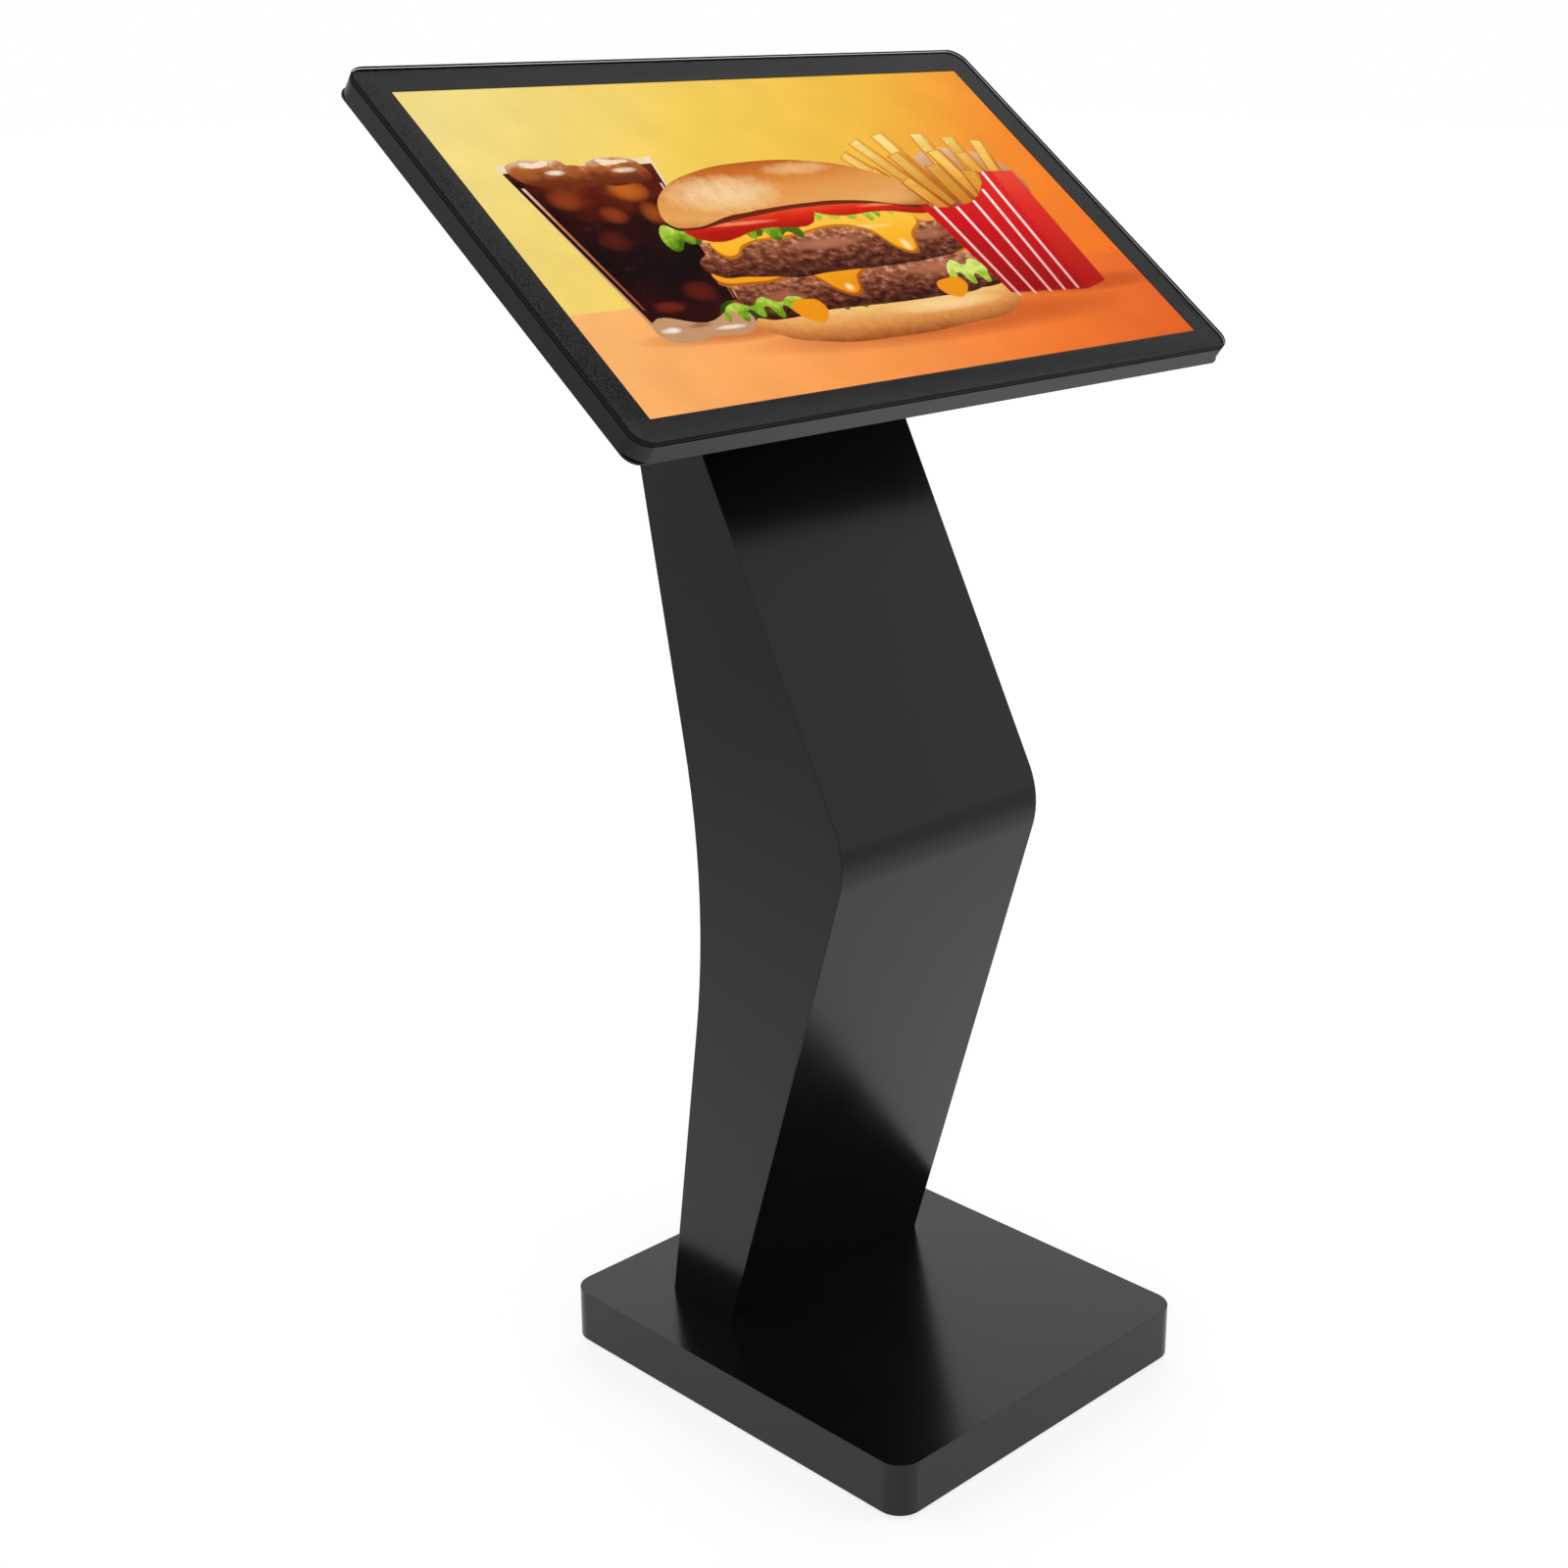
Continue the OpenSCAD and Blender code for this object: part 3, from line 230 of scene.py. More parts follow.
# %% Group: grain and patches
def make_grain_group():
    tree, source, out = new_group(
        "grain_and_patches",
        {"Grain Scale": 1200.0, "Patch Scale": 9.0, "Patch Amount": 0.1, "Stretch": 1.0},
        {"Grain": "NodeSocketFloat", "Patches": "NodeSocketFloat", "Shade": "NodeSocketFloat"},
    )
    place = place_of(tree)
    pull = add_node(tree, "ShaderNodeCombineXYZ", {"Y": 1.0, "Z": 1.0})
    tree.links.new(source.outputs["Stretch"], pull.inputs["X"])
    pulled = add_node(tree, "ShaderNodeVectorMath", operation="MULTIPLY")
    tree.links.new(place, pulled.inputs[0])
    tree.links.new(pull.outputs[0], pulled.inputs[1])
    grain = add_node(tree, "ShaderNodeTexNoise", {"Detail": 2.0, "Roughness": 0.55})
    tree.links.new(pulled.outputs[0], grain.inputs["Vector"])
    tree.links.new(source.outputs["Grain Scale"], grain.inputs["Scale"])
    patches = add_node(tree, "ShaderNodeTexNoise", {"Detail": 3.0, "Roughness": 0.5})
    tree.links.new(place, patches.inputs["Vector"])
    tree.links.new(source.outputs["Patch Scale"], patches.inputs["Scale"])
    centred = maths(tree, "SUBTRACT", patches.outputs["Fac"], 0.5)
    swing = maths(tree, "MULTIPLY", centred, source.outputs["Patch Amount"])
    tree.links.new(grain.outputs["Fac"], out.inputs["Grain"])
    tree.links.new(span(tree, patches.outputs["Fac"], 0.3, 0.7), out.inputs["Patches"])
    tree.links.new(maths(tree, "ADD", swing, 1.0), out.inputs["Shade"])
    return tree


grain_group = make_grain_group()
print("group sockets:", [s.name for s in grain_group.interface.items_tree])

# %% [markdown]
# A second shared effect is dust: a few pale specks and a thin veil that settle on surfaces that
# face up, and nowhere else. It is very faint, because the kiosk is new.

# %% Group: dust on surfaces that face up
def make_dust_group():
    tree, source, out = new_group(
        "settled_dust", {"Amount": 0.02}, {"Mask": "NodeSocketFloat"}
    )
    facing = add_node(tree, "ShaderNodeSeparateXYZ")
    tree.links.new(add_node(tree, "ShaderNodeNewGeometry").outputs["Normal"], facing.inputs[0])
    upward = span(tree, facing.outputs["Z"], 0.5, 0.95)
    place = place_of(tree)
    specks = add_node(tree, "ShaderNodeTexVoronoi", {"Scale": 140.0})
    veil = add_node(tree, "ShaderNodeTexNoise", {"Scale": 14.0, "Detail": 4.0})
    for texture in (specks, veil):
        tree.links.new(place, texture.inputs["Vector"])
    dots = span(tree, specks.outputs["Distance"], 0.03, 0.08, 1.0, 0.0)
    haze = span(tree, veil.outputs["Fac"], 0.4, 0.75)
    both = maths(tree, "ADD", dots, haze, clamp=True)
    strength = maths(tree, "MULTIPLY", both, upward)
    tree.links.new(maths(tree, "MULTIPLY", strength, source.outputs["Amount"]), out.inputs["Mask"])
    return tree


dust_group = make_dust_group()


def finish_with_grain(name, base, roughness, metallic=0.0, grain=1200.0, depth=0.00002,
                      patch=0.1, uneven=0.04, stretch=1.0, patch_scale=9.0, dust=0.0):
    """A material whose colour, roughness and relief all follow the grain group."""
    material, tree, shader = new_material(name, base, roughness, metallic)
    skin = use_group(tree, grain_group, **{
        "Grain Scale": grain, "Patch Scale": patch_scale,
        "Patch Amount": patch, "Stretch": stretch})
    dark = tuple(c * (1 - patch) for c in base)
    light = tuple(min(1.0, c * (1 + patch)) for c in base)
    colour = mix_colour(tree, skin.outputs["Patches"], dark, light)
    if dust:
        settled = use_group(tree, dust_group, Amount=dust)
        colour = mix_colour(tree, settled.outputs["Mask"], colour, (0.45, 0.44, 0.42))
    tree.links.new(colour, shader.inputs["Base Color"])
    rough = span(tree, skin.outputs["Patches"], 0.0, 1.0, roughness - uneven, roughness + uneven)
    tree.links.new(rough, shader.inputs["Roughness"])
    add_bump(tree, shader, skin.outputs["Grain"], depth)
    return material, tree, shader


# %% [markdown]
# The steelwork is powder coated in a smooth satin black. The coat is nearly black on its own: it
# gives back less than two parts of light in a thousand. Its skin has the very fine orange peel of
# melted powder. Its shine does the rest: it mirrors the pale room softly, and the column in the
# base.

# %% Material: black satin powder coat
paint, paint_tree, paint_shader = finish_with_grain(
    "black_satin_paint", (0.0015, 0.0015, 0.0016), 0.2, grain=950.0, depth=0.000012,
    patch=0.12, uneven=0.02, dust=0.003)
paint_shader.inputs["IOR"].default_value = 1.46

# %% [markdown]
# The floor is matt and pale. Its emission paints a glowing pool of light near the kiosk, in place of
# lamp light on it, and the low parts of the paint mirror that painted glow. To the camera it is an even white.

# %% Material: the floor
POOL_NEAR, POOL_FAR = 0.6, 2.4
NEAR_GLOW, FAR_GLOW, SEEN_GLOW = 0.56, 0.2, 0.72
floor_material, floor_tree, floor_shader = finish_with_grain(
    "pale_floor", (0.55, 0.55, 0.55), 0.9, grain=300.0, depth=0.00005, patch=0.01)
floor.data.materials.append(floor_material)
floor_shader.inputs["Specular IOR Level"].default_value = 0.0
floor_shader.inputs["Emission Color"].default_value = (1, 1, 1, 1)
distance = add_node(floor_tree, "ShaderNodeVectorMath", operation="LENGTH")
floor_tree.links.new(place_of(floor_tree), distance.inputs[0])
# painted pool of light: the floor's emission is strongest near the kiosk and fades with distance
painted_pool = span(floor_tree, distance.outputs["Value"], POOL_NEAR, POOL_FAR, NEAR_GLOW, FAR_GLOW)
direct = add_node(floor_tree, "ShaderNodeLightPath").outputs["Is Camera Ray"]
seen_glow = maths(floor_tree, "MULTIPLY", direct, SEEN_GLOW)
floor_tree.links.new(maths(floor_tree, "MAXIMUM", painted_pool, seen_glow),
                     floor_shader.inputs["Emission Strength"])

# %% [markdown]
# The hidden steel is zinc plated: pale grey with a faint yellow and blue bloom, and fine drawn
# lines. The lock and the button's ring are polished chrome, the contacts are brass, and the power
# supply's case and the heat sink are bare aluminium. They share the grain group, with other
# values.

# %% Materials: metals
zinc, zinc_tree, zinc_shader = finish_with_grain(
    "zinc_plate", (0.58, 0.58, 0.57), 0.34, metallic=1.0, grain=700.0, depth=0.000015,
    patch=0.12, uneven=0.07, patch_scale=35.0)
bloom = add_node(zinc_tree, "ShaderNodeTexNoise", {"Scale": 22.0, "Detail": 2.0})
zinc_tree.links.new(place_of(zinc_tree), bloom.inputs["Vector"])
old_colour = zinc_shader.inputs["Base Color"].links[0].from_socket
warm = mix_colour(zinc_tree, span(zinc_tree, bloom.outputs["Fac"], 0.4, 0.6),
                  (0.56, 0.57, 0.62), (0.64, 0.60, 0.50))
zinc_tree.links.new(mix_colour(zinc_tree, 0.45, old_colour, warm), zinc_shader.inputs["Base Color"])

chrome, _, _ = finish_with_grain(
    "polished_chrome", (0.62, 0.62, 0.64), 0.12, metallic=1.0, grain=400.0, depth=0.000004,
    patch=0.06, uneven=0.05, patch_scale=60.0)
brass, _, _ = finish_with_grain(
    "contact_brass", (0.75, 0.55, 0.26), 0.28, metallic=1.0, grain=600.0, depth=0.00001,
    patch=0.15, uneven=0.08, patch_scale=80.0)
aluminium, _, _ = finish_with_grain(
    "bare_aluminium", (0.66, 0.67, 0.68), 0.38, metallic=1.0, grain=260.0, depth=0.00002,
    patch=0.08, uneven=0.06, stretch=0.06, patch_scale=20.0)

# %% [markdown]
# Rubber is dull and slightly grey, with a rough moulded skin. The plastic parts are black and a
# bit shinier, with the fine leather of a spark-eroded mould. The cables have a smooth soft
# jacket. The power switch is a clear red plastic that lets some light in.

# %% Materials: rubber and plastics
rubber, _, _ = finish_with_grain(
    "black_rubber", (0.018, 0.018, 0.019), 0.72, grain=1600.0, depth=0.00006,
    patch=0.25, uneven=0.08, dust=0.04)
plastic, _, _ = finish_with_grain(
    "black_plastic", (0.013, 0.013, 0.014), 0.42, grain=2200.0, depth=0.00003,
    patch=0.15, uneven=0.05)
jacket, _, _ = finish_with_grain(
    "cable_jacket", (0.015, 0.015, 0.016), 0.5, grain=500.0, depth=0.00003,
    patch=0.2, uneven=0.06, patch_scale=40.0)
red_plastic, _, red_shader = finish_with_grain(
    "red_switch", (0.42, 0.012, 0.010), 0.22, grain=900.0, depth=0.000008,
    patch=0.15, uneven=0.04, patch_scale=60.0)
red_shader.inputs["Coat Weight"].default_value = 0.3

# %% [markdown]
# The screen's cover is one sheet of clear glass, 3 mm thick, with an anti-reflection coat, so
# that visitors see the picture and not the lamps. Such a coat takes away nearly all of the mirror
# image. A low index of refraction does the same here. The border is printed black, and its satin
# ink shows the room softly.

# %% Materials: glass and printed border
glass, glass_tree, glass_shader = new_material("cover_glass", (1.0, 1.0, 1.0), 0.0)
glass_shader.inputs["Transmission Weight"].default_value = 1.0
glass_shader.inputs["IOR"].default_value = 1.06
film = use_group(glass_tree, grain_group, **{"Grain Scale": 60.0, "Patch Scale": 7.0})
film_colour = mix_colour(glass_tree, film.outputs["Patches"], (0.985, 0.995, 0.99), (1.0, 1.0, 1.0))
glass_tree.links.new(film_colour, glass_shader.inputs["Base Color"])
ink, _, _ = finish_with_grain(
    "border_ink", (0.0120, 0.0120, 0.0122), 0.24, grain=900.0, depth=0.000002,
    patch=0.1, uneven=0.01)

# %% [markdown]
# The circuit boards are green lacquer over copper, with fine straight tracks. A grid of cells and
# lines makes the tracks: where a line passes, the copper under the lacquer is lighter.

# %% Material: circuit board
board, board_tree, board_shader = new_material("circuit_board", (0.02, 0.11, 0.05), 0.35)
board_place = place_of(board_tree)
tracks = add_node(board_tree, "ShaderNodeTexBrick",
                  {"Scale": 160.0, "Mortar Size": 0.06, "Mortar Smooth": 0.2})
board_tree.links.new(board_place, tracks.inputs["Vector"])
tint = add_node(board_tree, "ShaderNodeTexNoise", {"Scale": 60.0, "Detail": 2.0})
board_tree.links.new(board_place, tint.inputs["Vector"])
lacquer = mix_colour(board_tree, tint.outputs["Fac"], (0.010, 0.07, 0.028), (0.018, 0.12, 0.05))
board_tree.links.new(mix_colour(board_tree, tracks.outputs["Fac"], lacquer, (0.05, 0.24, 0.10)),
                     board_shader.inputs["Base Color"])
add_bump(board_tree, board_shader, tracks.outputs["Fac"], 0.00003)
print("materials:", sorted(m.name for m in bpy.data.materials if m.users))

# %% [markdown]
# Real sheet steel has no knife edges: it is folded, cut and sanded, and the paint rounds it more.
# A CAD node has sharp edges and loose triangles. So each visible piece is made again from its
# node: the triangles are joined, flat ones are merged, and the sharp edges get a narrow bevel of
# their own width. The piece then stands for the node.

# %% Helper: a clean skin from a CAD node
WELD_GAP = 0.000002
FLAT_ANGLE, SHARP_ANGLE, SMOOTH_ANGLE = (math.radians(a) for a in (0.4, 30, 35))


def only(piece):
    """Nothing but this piece is selected."""
    bpy.ops.object.select_all(action="DESELECT")
    piece.select_set(True)
    bpy.context.view_layer.objects.active = piece


def clean_copy(node, name):
    """A joined copy of a CAD node, with its flat faces merged."""
    mesh = nodes[node].data.copy()
    mesh.materials.clear()
    piece = bpy.data.objects.new(name, mesh)
    scene.collection.objects.link(piece)
    only(piece)
    bpy.ops.object.mode_set(mode="EDIT")
    bpy.ops.mesh.customdata_custom_splitnormals_clear()
    bpy.ops.mesh.select_all(action="SELECT")
    bpy.ops.mesh.remove_doubles(threshold=WELD_GAP)
    bpy.ops.mesh.dissolve_limited(angle_limit=FLAT_ANGLE)
    bpy.ops.object.mode_set(mode="OBJECT")
    return piece


def select_sharp(piece, keep=None):
    """Sharp edges are selected; keep(a, b, n1, n2) may turn some down by their ends and normals."""
    bpy.ops.mesh.select_mode(type="EDGE")
    bpy.ops.mesh.select_all(action="DESELECT")
    edges = bmesh.from_edit_mesh(piece.data)
    for edge in edges.edges:
        if len(edge.link_faces) != 2 or edge.calc_face_angle(0) < SHARP_ANGLE:
            continue
        a, b = (v.co for v in edge.verts)
        if keep is None or keep(a, b, *(f.normal for f in edge.link_faces)):
            edge.select_set(True)
    bmesh.update_edit_mesh(piece.data)


def select_faces(piece, wanted):
    """Faces for which wanted(face) is true are selected; edit mode is on."""
    bpy.ops.mesh.select_mode(type="FACE")
    bpy.ops.mesh.select_all(action="DESELECT")
    shell = bmesh.from_edit_mesh(piece.data)
    for face in shell.faces:
        face.select_set(wanted(face))
    bmesh.update_edit_mesh(piece.data)


def soften(piece, width, segments=2, keep=None):
    """The chosen sharp edges get a bevel, and flat faces stay flat in the light."""
    only(piece)
    bpy.ops.object.mode_set(mode="EDIT")
    select_sharp(piece, keep)
    bpy.ops.mesh.bevel(offset=width, segments=segments, profile=0.5, clamp_overlap=True)
    bpy.ops.object.mode_set(mode="OBJECT")
    bpy.ops.object.shade_smooth_by_angle(angle=SMOOTH_ANGLE)


def level_shading(piece):
    """Large faces keep their own normal, so that a bevel doesn't bend the light on them."""
    only(piece)
    made = piece.modifiers.new("level", "WEIGHTED_NORMAL")
    made.keep_sharp = True
    bpy.ops.object.modifier_apply(modifier=made.name)


def put_on(piece, material, slot, body, *stands_for):
    """The piece gets its finish, rides on its body and stands for CAD nodes."""
    piece.data.materials.clear()
    piece.data.materials.append(material)
    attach(piece, body)
    if stands_for:
        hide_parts(*stands_for)


body_of_node = {n: b for b, ns in frame["record"]["behaviour"]["bodies"].items() for n in ns}


def refine(node, width, material, slot, keep=None, segments=2):
    """The whole way from a CAD node to a finished piece."""
    piece = clean_copy(node, node + "_skin")
    if width:
        soften(piece, width, segments, keep)
    else:
        only(piece)
        bpy.ops.object.shade_smooth_by_angle(angle=SMOOTH_ANGLE)
    level_shading(piece)
    put_on(piece, material, slot, body_of_node[node], node)
    return piece


# %% [markdown]
# The column is a closed box of four welded sheets. On the real one the welds are ground flush, so
# the seams don't show, and only the long outer corners are rounded. We therefore bevel just the
# edges where a front or rear sheet meets the column's flanks, and leave the seams flat and sharp.

# %% Column
column_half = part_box("column_front_panel")[1].x
CORNER_ROUND = 0.0012


def outer_corner(way):
    """Edges along the flanks whose other face looks outwards; way is -1 in front and 1 behind."""
    def keep(a, b, n1, n2):
        on_flank = min(abs(a.x), abs(b.x)) > column_half - 0.0001
        outwards = max(way * n1.y, way * n2.y) > 0.2
        return on_flank and outwards and max(abs(n1.x), abs(n2.x)) > 0.9
    return keep


for panel, way in (("front", -1), ("rear", 1)):
    refine("column_%s_panel" % panel, CORNER_ROUND, paint, "black_paint", outer_corner(way), 3)
for side in ("left", "right"):
    refine("column_side_" + side, 0, paint, "black_paint")
print("column corners rounded by", CORNER_ROUND * 1000, "mm")

# %% Other pieces, with the width of their softened edges in tenths of a millimetre
def refine_all(material, slot, widths):
    """Several nodes of one finish."""
    for node, width in widths.items():
        refine(node, width / 10000, material, slot)


refine_all(paint, "black_paint", {
    "base_shell": 9, "head_frame": 6, "back_plate": 5, "rear_housing": 6, "neck_bracket": 6,
    "door_surround": 4, "service_door": 4, "column_foot_plate": 4, "column_diaphragm": 4,
    "column_top_plate": 4})
refine_all(zinc, "zinc_steel", {
    "ballast_plate": 6, "base_pillars": 4, "base_screws": 4, "foot_bushes": 5, "backing_plate": 5,
    "foot_bolts": 5, "hinge_leaves_fixed": 3, "hinge_leaves_door": 3, "hinge_pins": 3,
    "supply_bracket": 4, "neck_bolts": 5, "head_bolts": 4, "mount_plate": 4, "panel_clips": 3})
for corner in ("front_left", "front_right", "rear_left", "rear_right"):
    refine_all(zinc, "zinc_steel", {"foot_stud_" + corner: 4})
    refine_all(rubber, "black_rubber", {"foot_pad_" + corner: 8})
refine_all(chrome, "chromed_lock", {
    "lock_body": 4, "lock_plug": 3, "lock_cam": 3, "button_bezel": 4})
refine_all(plastic, "black_plastic", {"power_button": 4, "inlet_body": 4})
refine_all(red_plastic, "switch_red", {"inlet_rocker": 5})
refine_all(brass, "contact_brass", {"inlet_blades": 2})
refine_all(aluminium, "cast_aluminium", {"power_supply": 4, "heat_sink": 3, "backlight_unit": 5})
refine_all(plastic, "black_plastic", {
    "fan_frame": 5, "fan_rotor": 3, "speakers": 8, "camera_module": 2})
refine_all(rubber, "black_rubber", {"door_seal": 4, "glass_gasket": 2})
refine_all(board, "board_green", {"circuit_boards": 0})
refine_all(ink, "border_ink", {"border_print": 0})
refine_all(jacket, "black_rubber", {"inlet_lead": 0, "head_lead": 0})

# %% [markdown]
# Positions on the head are easier to say in the head's own frame: along the screen, up the
# screen, and out of the glass. The fan's axis in the model stands square on the screen, so it
# gives the tilt, and the cell of the display gives the middle.

# %% The head's frame
fan_axis = Vector(next(j for j in frame["joints"] if j["name"] == "fan_spin")["axis"])
out_of_glass = fan_axis * math.copysign(1, fan_axis.z)
along = Vector((1, 0, 0))
up_screen = out_of_glass.cross(along)
head_turn = Matrix((along, up_screen, out_of_glass))


def head_span(places):
    """Lowest and highest corner of some places along the head's three directions."""
    points = [head_turn @ place for place in places]
    return (Vector(min(p[i] for p in points) for i in range(3)),
            Vector(max(p[i] for p in points) for i in range(3)))


cell_low, cell_high = head_span(v.co for v in nodes["display_panel"].data.vertices)
cell_middle = (cell_low + cell_high) / 2
CELL_MARGIN = 0.0048
SCREEN = Vector((cell_high.x - cell_low.x - 2 * CELL_MARGIN,
                 cell_high.y - cell_low.y - 2 * CELL_MARGIN))
screen_middle = head_turn.transposed() @ Vector((cell_middle.x, cell_middle.y, cell_high.z))
head_tilt = math.acos(out_of_glass.z)
to_world = Matrix.Translation(screen_middle) @ head_turn.transposed().to_4x4()
print("tilt of the screen:", round(math.degrees(head_tilt), 2),
      "picture:", [round(v, 4) for v in SCREEN])

# %% [markdown]
# The glass is ground to a small chamfer all round its front, and its edge is blackened, so that
# no stray light comes out of it. So the cover has two finishes: its two large faces are clear,
# and the chamfer and the rim are matt black.

# %% Piece: cover glass
CHAMFER = 0.0009
edge_black, _, edge_shader = finish_with_grain(
    "blackened_edge", (0.004, 0.004, 0.0042), 0.6, grain=1500.0, depth=0.00001, patch=0.1)
edge_shader.inputs["Specular IOR Level"].default_value = 0.2


def front_rim(a, b, n1, n2):
    """Edges between the glass's front face and its rim."""
    return max(n1.dot(out_of_glass), n2.dot(out_of_glass)) > 0.99


cover = clean_copy("touch_glass", "touch_glass_skin")
soften(cover, CHAMFER, 1, front_rim)
put_on(cover, glass, "clear_glass", body_of_node["touch_glass"], "touch_glass")
cover.data.materials.append(edge_black)
only(cover)
bpy.ops.object.mode_set(mode="EDIT")
select_faces(cover, lambda face: abs(face.normal.dot(out_of_glass)) < 0.95)
bpy.context.object.active_material_index = 1
bpy.ops.object.material_slot_assign()
bpy.ops.object.mode_set(mode="OBJECT")
print("cover glass:", len(cover.data.polygons), "faces")

# %% [markdown]
# Twenty-four small screws hold the back plate and the housing. Each has a domed head with a cross
# recess. One is modelled at the origin: a disc, its rim rounded, its underside drawn in and
# pulled down to a shank, and two tapered blocks cut out of its top. Copies go where the model's
# screws are, each turned its own way, as a hand leaves them.

# %% Helper: the separate solids of a node
def loose_parts(node):
    """The points of each solid in a node, in a fixed order."""
    shell = bmesh.new()
    shell.from_mesh(nodes[node].data)
    bmesh.ops.remove_doubles(shell, verts=shell.verts, dist=WELD_GAP)
    left, found = set(shell.verts), []
    while left:
        queue, part = [left.pop()], []
        while queue:
            vertex = queue.pop()
            part.append(vertex.co.copy())
            for edge in vertex.link_edges:
                other = edge.other_vert(vertex)
                if other in left:
                    left.remove(other)
                    queue.append(other)
        found.append(part)
    shell.free()
    return sorted(found, key=lambda part: tuple(round(sum(p[i] for p in part) / len(part), 4)
                                                for i in range(3)))


# %% Piece: a small screw with a cross recess
SCREW_HEAD, SCREW_HEIGHT, SCREW_SHANK = 0.0028, 0.0015, 0.0015
RECESS = (SCREW_HEAD * 1.15, SCREW_HEAD * 0.26, SCREW_HEIGHT * 1.2)


bpy.ops.object.select_all(action="DESELECT")
bpy.ops.mesh.primitive_cylinder_add(vertices=24, radius=SCREW_HEAD, depth=SCREW_HEIGHT)
screw = bpy.context.object
screw.name = "screw_pattern"
bpy.ops.object.mode_set(mode="EDIT")
select_faces(screw, lambda face: face.normal.z < -0.9)
bpy.ops.mesh.inset(thickness=SCREW_HEAD - SCREW_SHANK, depth=0)
bpy.ops.mesh.extrude_region_move(TRANSFORM_OT_translate={"value": (0, 0, -SCREW_HEIGHT)})
select_faces(screw, lambda face: face.normal.z > 0.9)
bpy.ops.mesh.bevel(offset=SCREW_HEIGHT * 0.55, segments=4, profile=0.55)
bpy.ops.object.mode_set(mode="OBJECT")
for turn in (0, 90):
    bpy.ops.object.select_all(action="DESELECT")
    bpy.ops.mesh.primitive_cube_add(size=1, location=(0, 0, SCREW_HEIGHT / 2),
                                    rotation=(0, 0, math.radians(turn)),
                                    scale=RECESS)
    cutter = bpy.context.object
    bpy.ops.object.transform_apply()
    bpy.ops.object.mode_set(mode="EDIT")
    select_faces(cutter, lambda face: face.normal.z < -0.9)
    bpy.ops.transform.resize(value=(0.6, 0.6, 1.0), center_override=(0, 0, 0))
    bpy.ops.object.mode_set(mode="OBJECT")
    only(screw)
    cut = screw.modifiers.new("recess", "BOOLEAN")
    cut.operation = "DIFFERENCE"
    cut.solver = "EXACT"
    cut.object = cutter
    bpy.ops.object.modifier_apply(modifier=cut.name)
    bpy.data.objects.remove(cutter)
bpy.ops.object.shade_smooth_by_angle(angle=SMOOTH_ANGLE)

# %% Copy the screws to their places
dice = random.Random(7)
screws = []
for part in loose_parts("plate_screws"):
    low, high = head_span(part)
    copy = screw.copy()
    copy.data = screw.data.copy()
    scene.collection.objects.link(copy)
    reach = high.z - low.z - SCREW_HEIGHT
    for vertex in copy.data.vertices:
        if vertex.co.z < -SCREW_HEIGHT:
            vertex.co.z = -SCREW_HEIGHT / 2 - reach
    place = head_turn.transposed() @ Vector(((low.x + high.x) / 2, (low.y + high.y) / 2,
                                             low.z + SCREW_HEIGHT / 2))
    copy.data.transform(Matrix.Translation(place) @ head_turn.transposed().to_4x4()
                        @ Matrix.Rotation(math.pi, 4, "X")
                        @ Matrix.Rotation(dice.random() * math.tau, 4, "Z"))
    screws.append(copy)
bpy.data.objects.remove(screw)
bpy.ops.object.select_all(action="DESELECT")
for copy in screws:
    copy.select_set(True)
bpy.context.view_layer.objects.active = screws[0]
bpy.ops.object.join()
joined = bpy.context.object
joined.name = "plate_screws_skin"
put_on(joined, zinc, "zinc_steel", body_of_node["plate_screws"], "plate_screws")
print("screws:", len(screws), "faces:", len(joined.data.polygons))

# %% [markdown]
# The screen shows an advert. Ours is our own: a burger, a cold drink and a carton of chips, with
# no words. It is made like a paper collage: flat shapes with soft outlines lie on each other in
# front of the display's cell, a few hundredths of a millimetre apart, and each has glowing ink of
# its own. First comes the inks' shared part: the place of a point on the picture, from its
# middle, in metres.

# %% Group: place on the picture
def make_place_group():
    tree, source, out = new_group(
        "place_on_picture",
        {"Middle X": 0.0, "Middle Y": 0.0, "Half Width": 0.1, "Half Height": 0.1},
        {"Across": "NodeSocketFloat", "Up": "NodeSocketFloat", "Place": "NodeSocketVector"},
    )
    place = place_of(tree)
    turned = add_node(tree, "ShaderNodeMapping", {
        "Location": -(head_turn @ screen_middle), "Rotation": (-head_tilt, 0, 0)})
    tree.links.new(place, turned.inputs["Vector"])
    parts = add_node(tree, "ShaderNodeSeparateXYZ")
    tree.links.new(turned.outputs[0], parts.inputs[0])
    for axis, middle, half, name in (("X", "Middle X", "Half Width", "Across"),
                                     ("Y", "Middle Y", "Half Height", "Up")):
        moved = maths(tree, "SUBTRACT", parts.outputs[axis], source.outputs[middle])
        tree.links.new(maths(tree, "DIVIDE", moved, source.outputs[half]), out.inputs[name])
    tree.links.new(turned.outputs[0], out.inputs["Place"])
    return tree


place_group = make_place_group()


def spot_on(tree, middle, half):
    """The place on the picture, from a middle and in half sizes."""
    return use_group(tree, place_group, **{
        "Middle X": middle[0], "Middle Y": middle[1],
        "Half Width": half[0], "Half Height": half[1]})


def srgb(r, g, b):
    """Linear colour from the 0 to 255 values of a paint chart."""
    return tuple(((c / 255 + 0.055) / 1.055) ** 2.4 for c in (r, g, b))


def ramp(tree, value, stops):
    """A colour ramp; stops are (position, red, green, blue), as srgb takes them."""
    made = add_node(tree, "ShaderNodeValToRGB")
    points = made.color_ramp.elements
    while len(points) < len(stops):
        points.new(0.5)
    for point, (position, *colour) in zip(points, stops):
        point.position = position
        point.color = (*srgb(*colour), 1)
    tree.links.new(value, made.inputs["Fac"])
    return made.outputs["Color"]


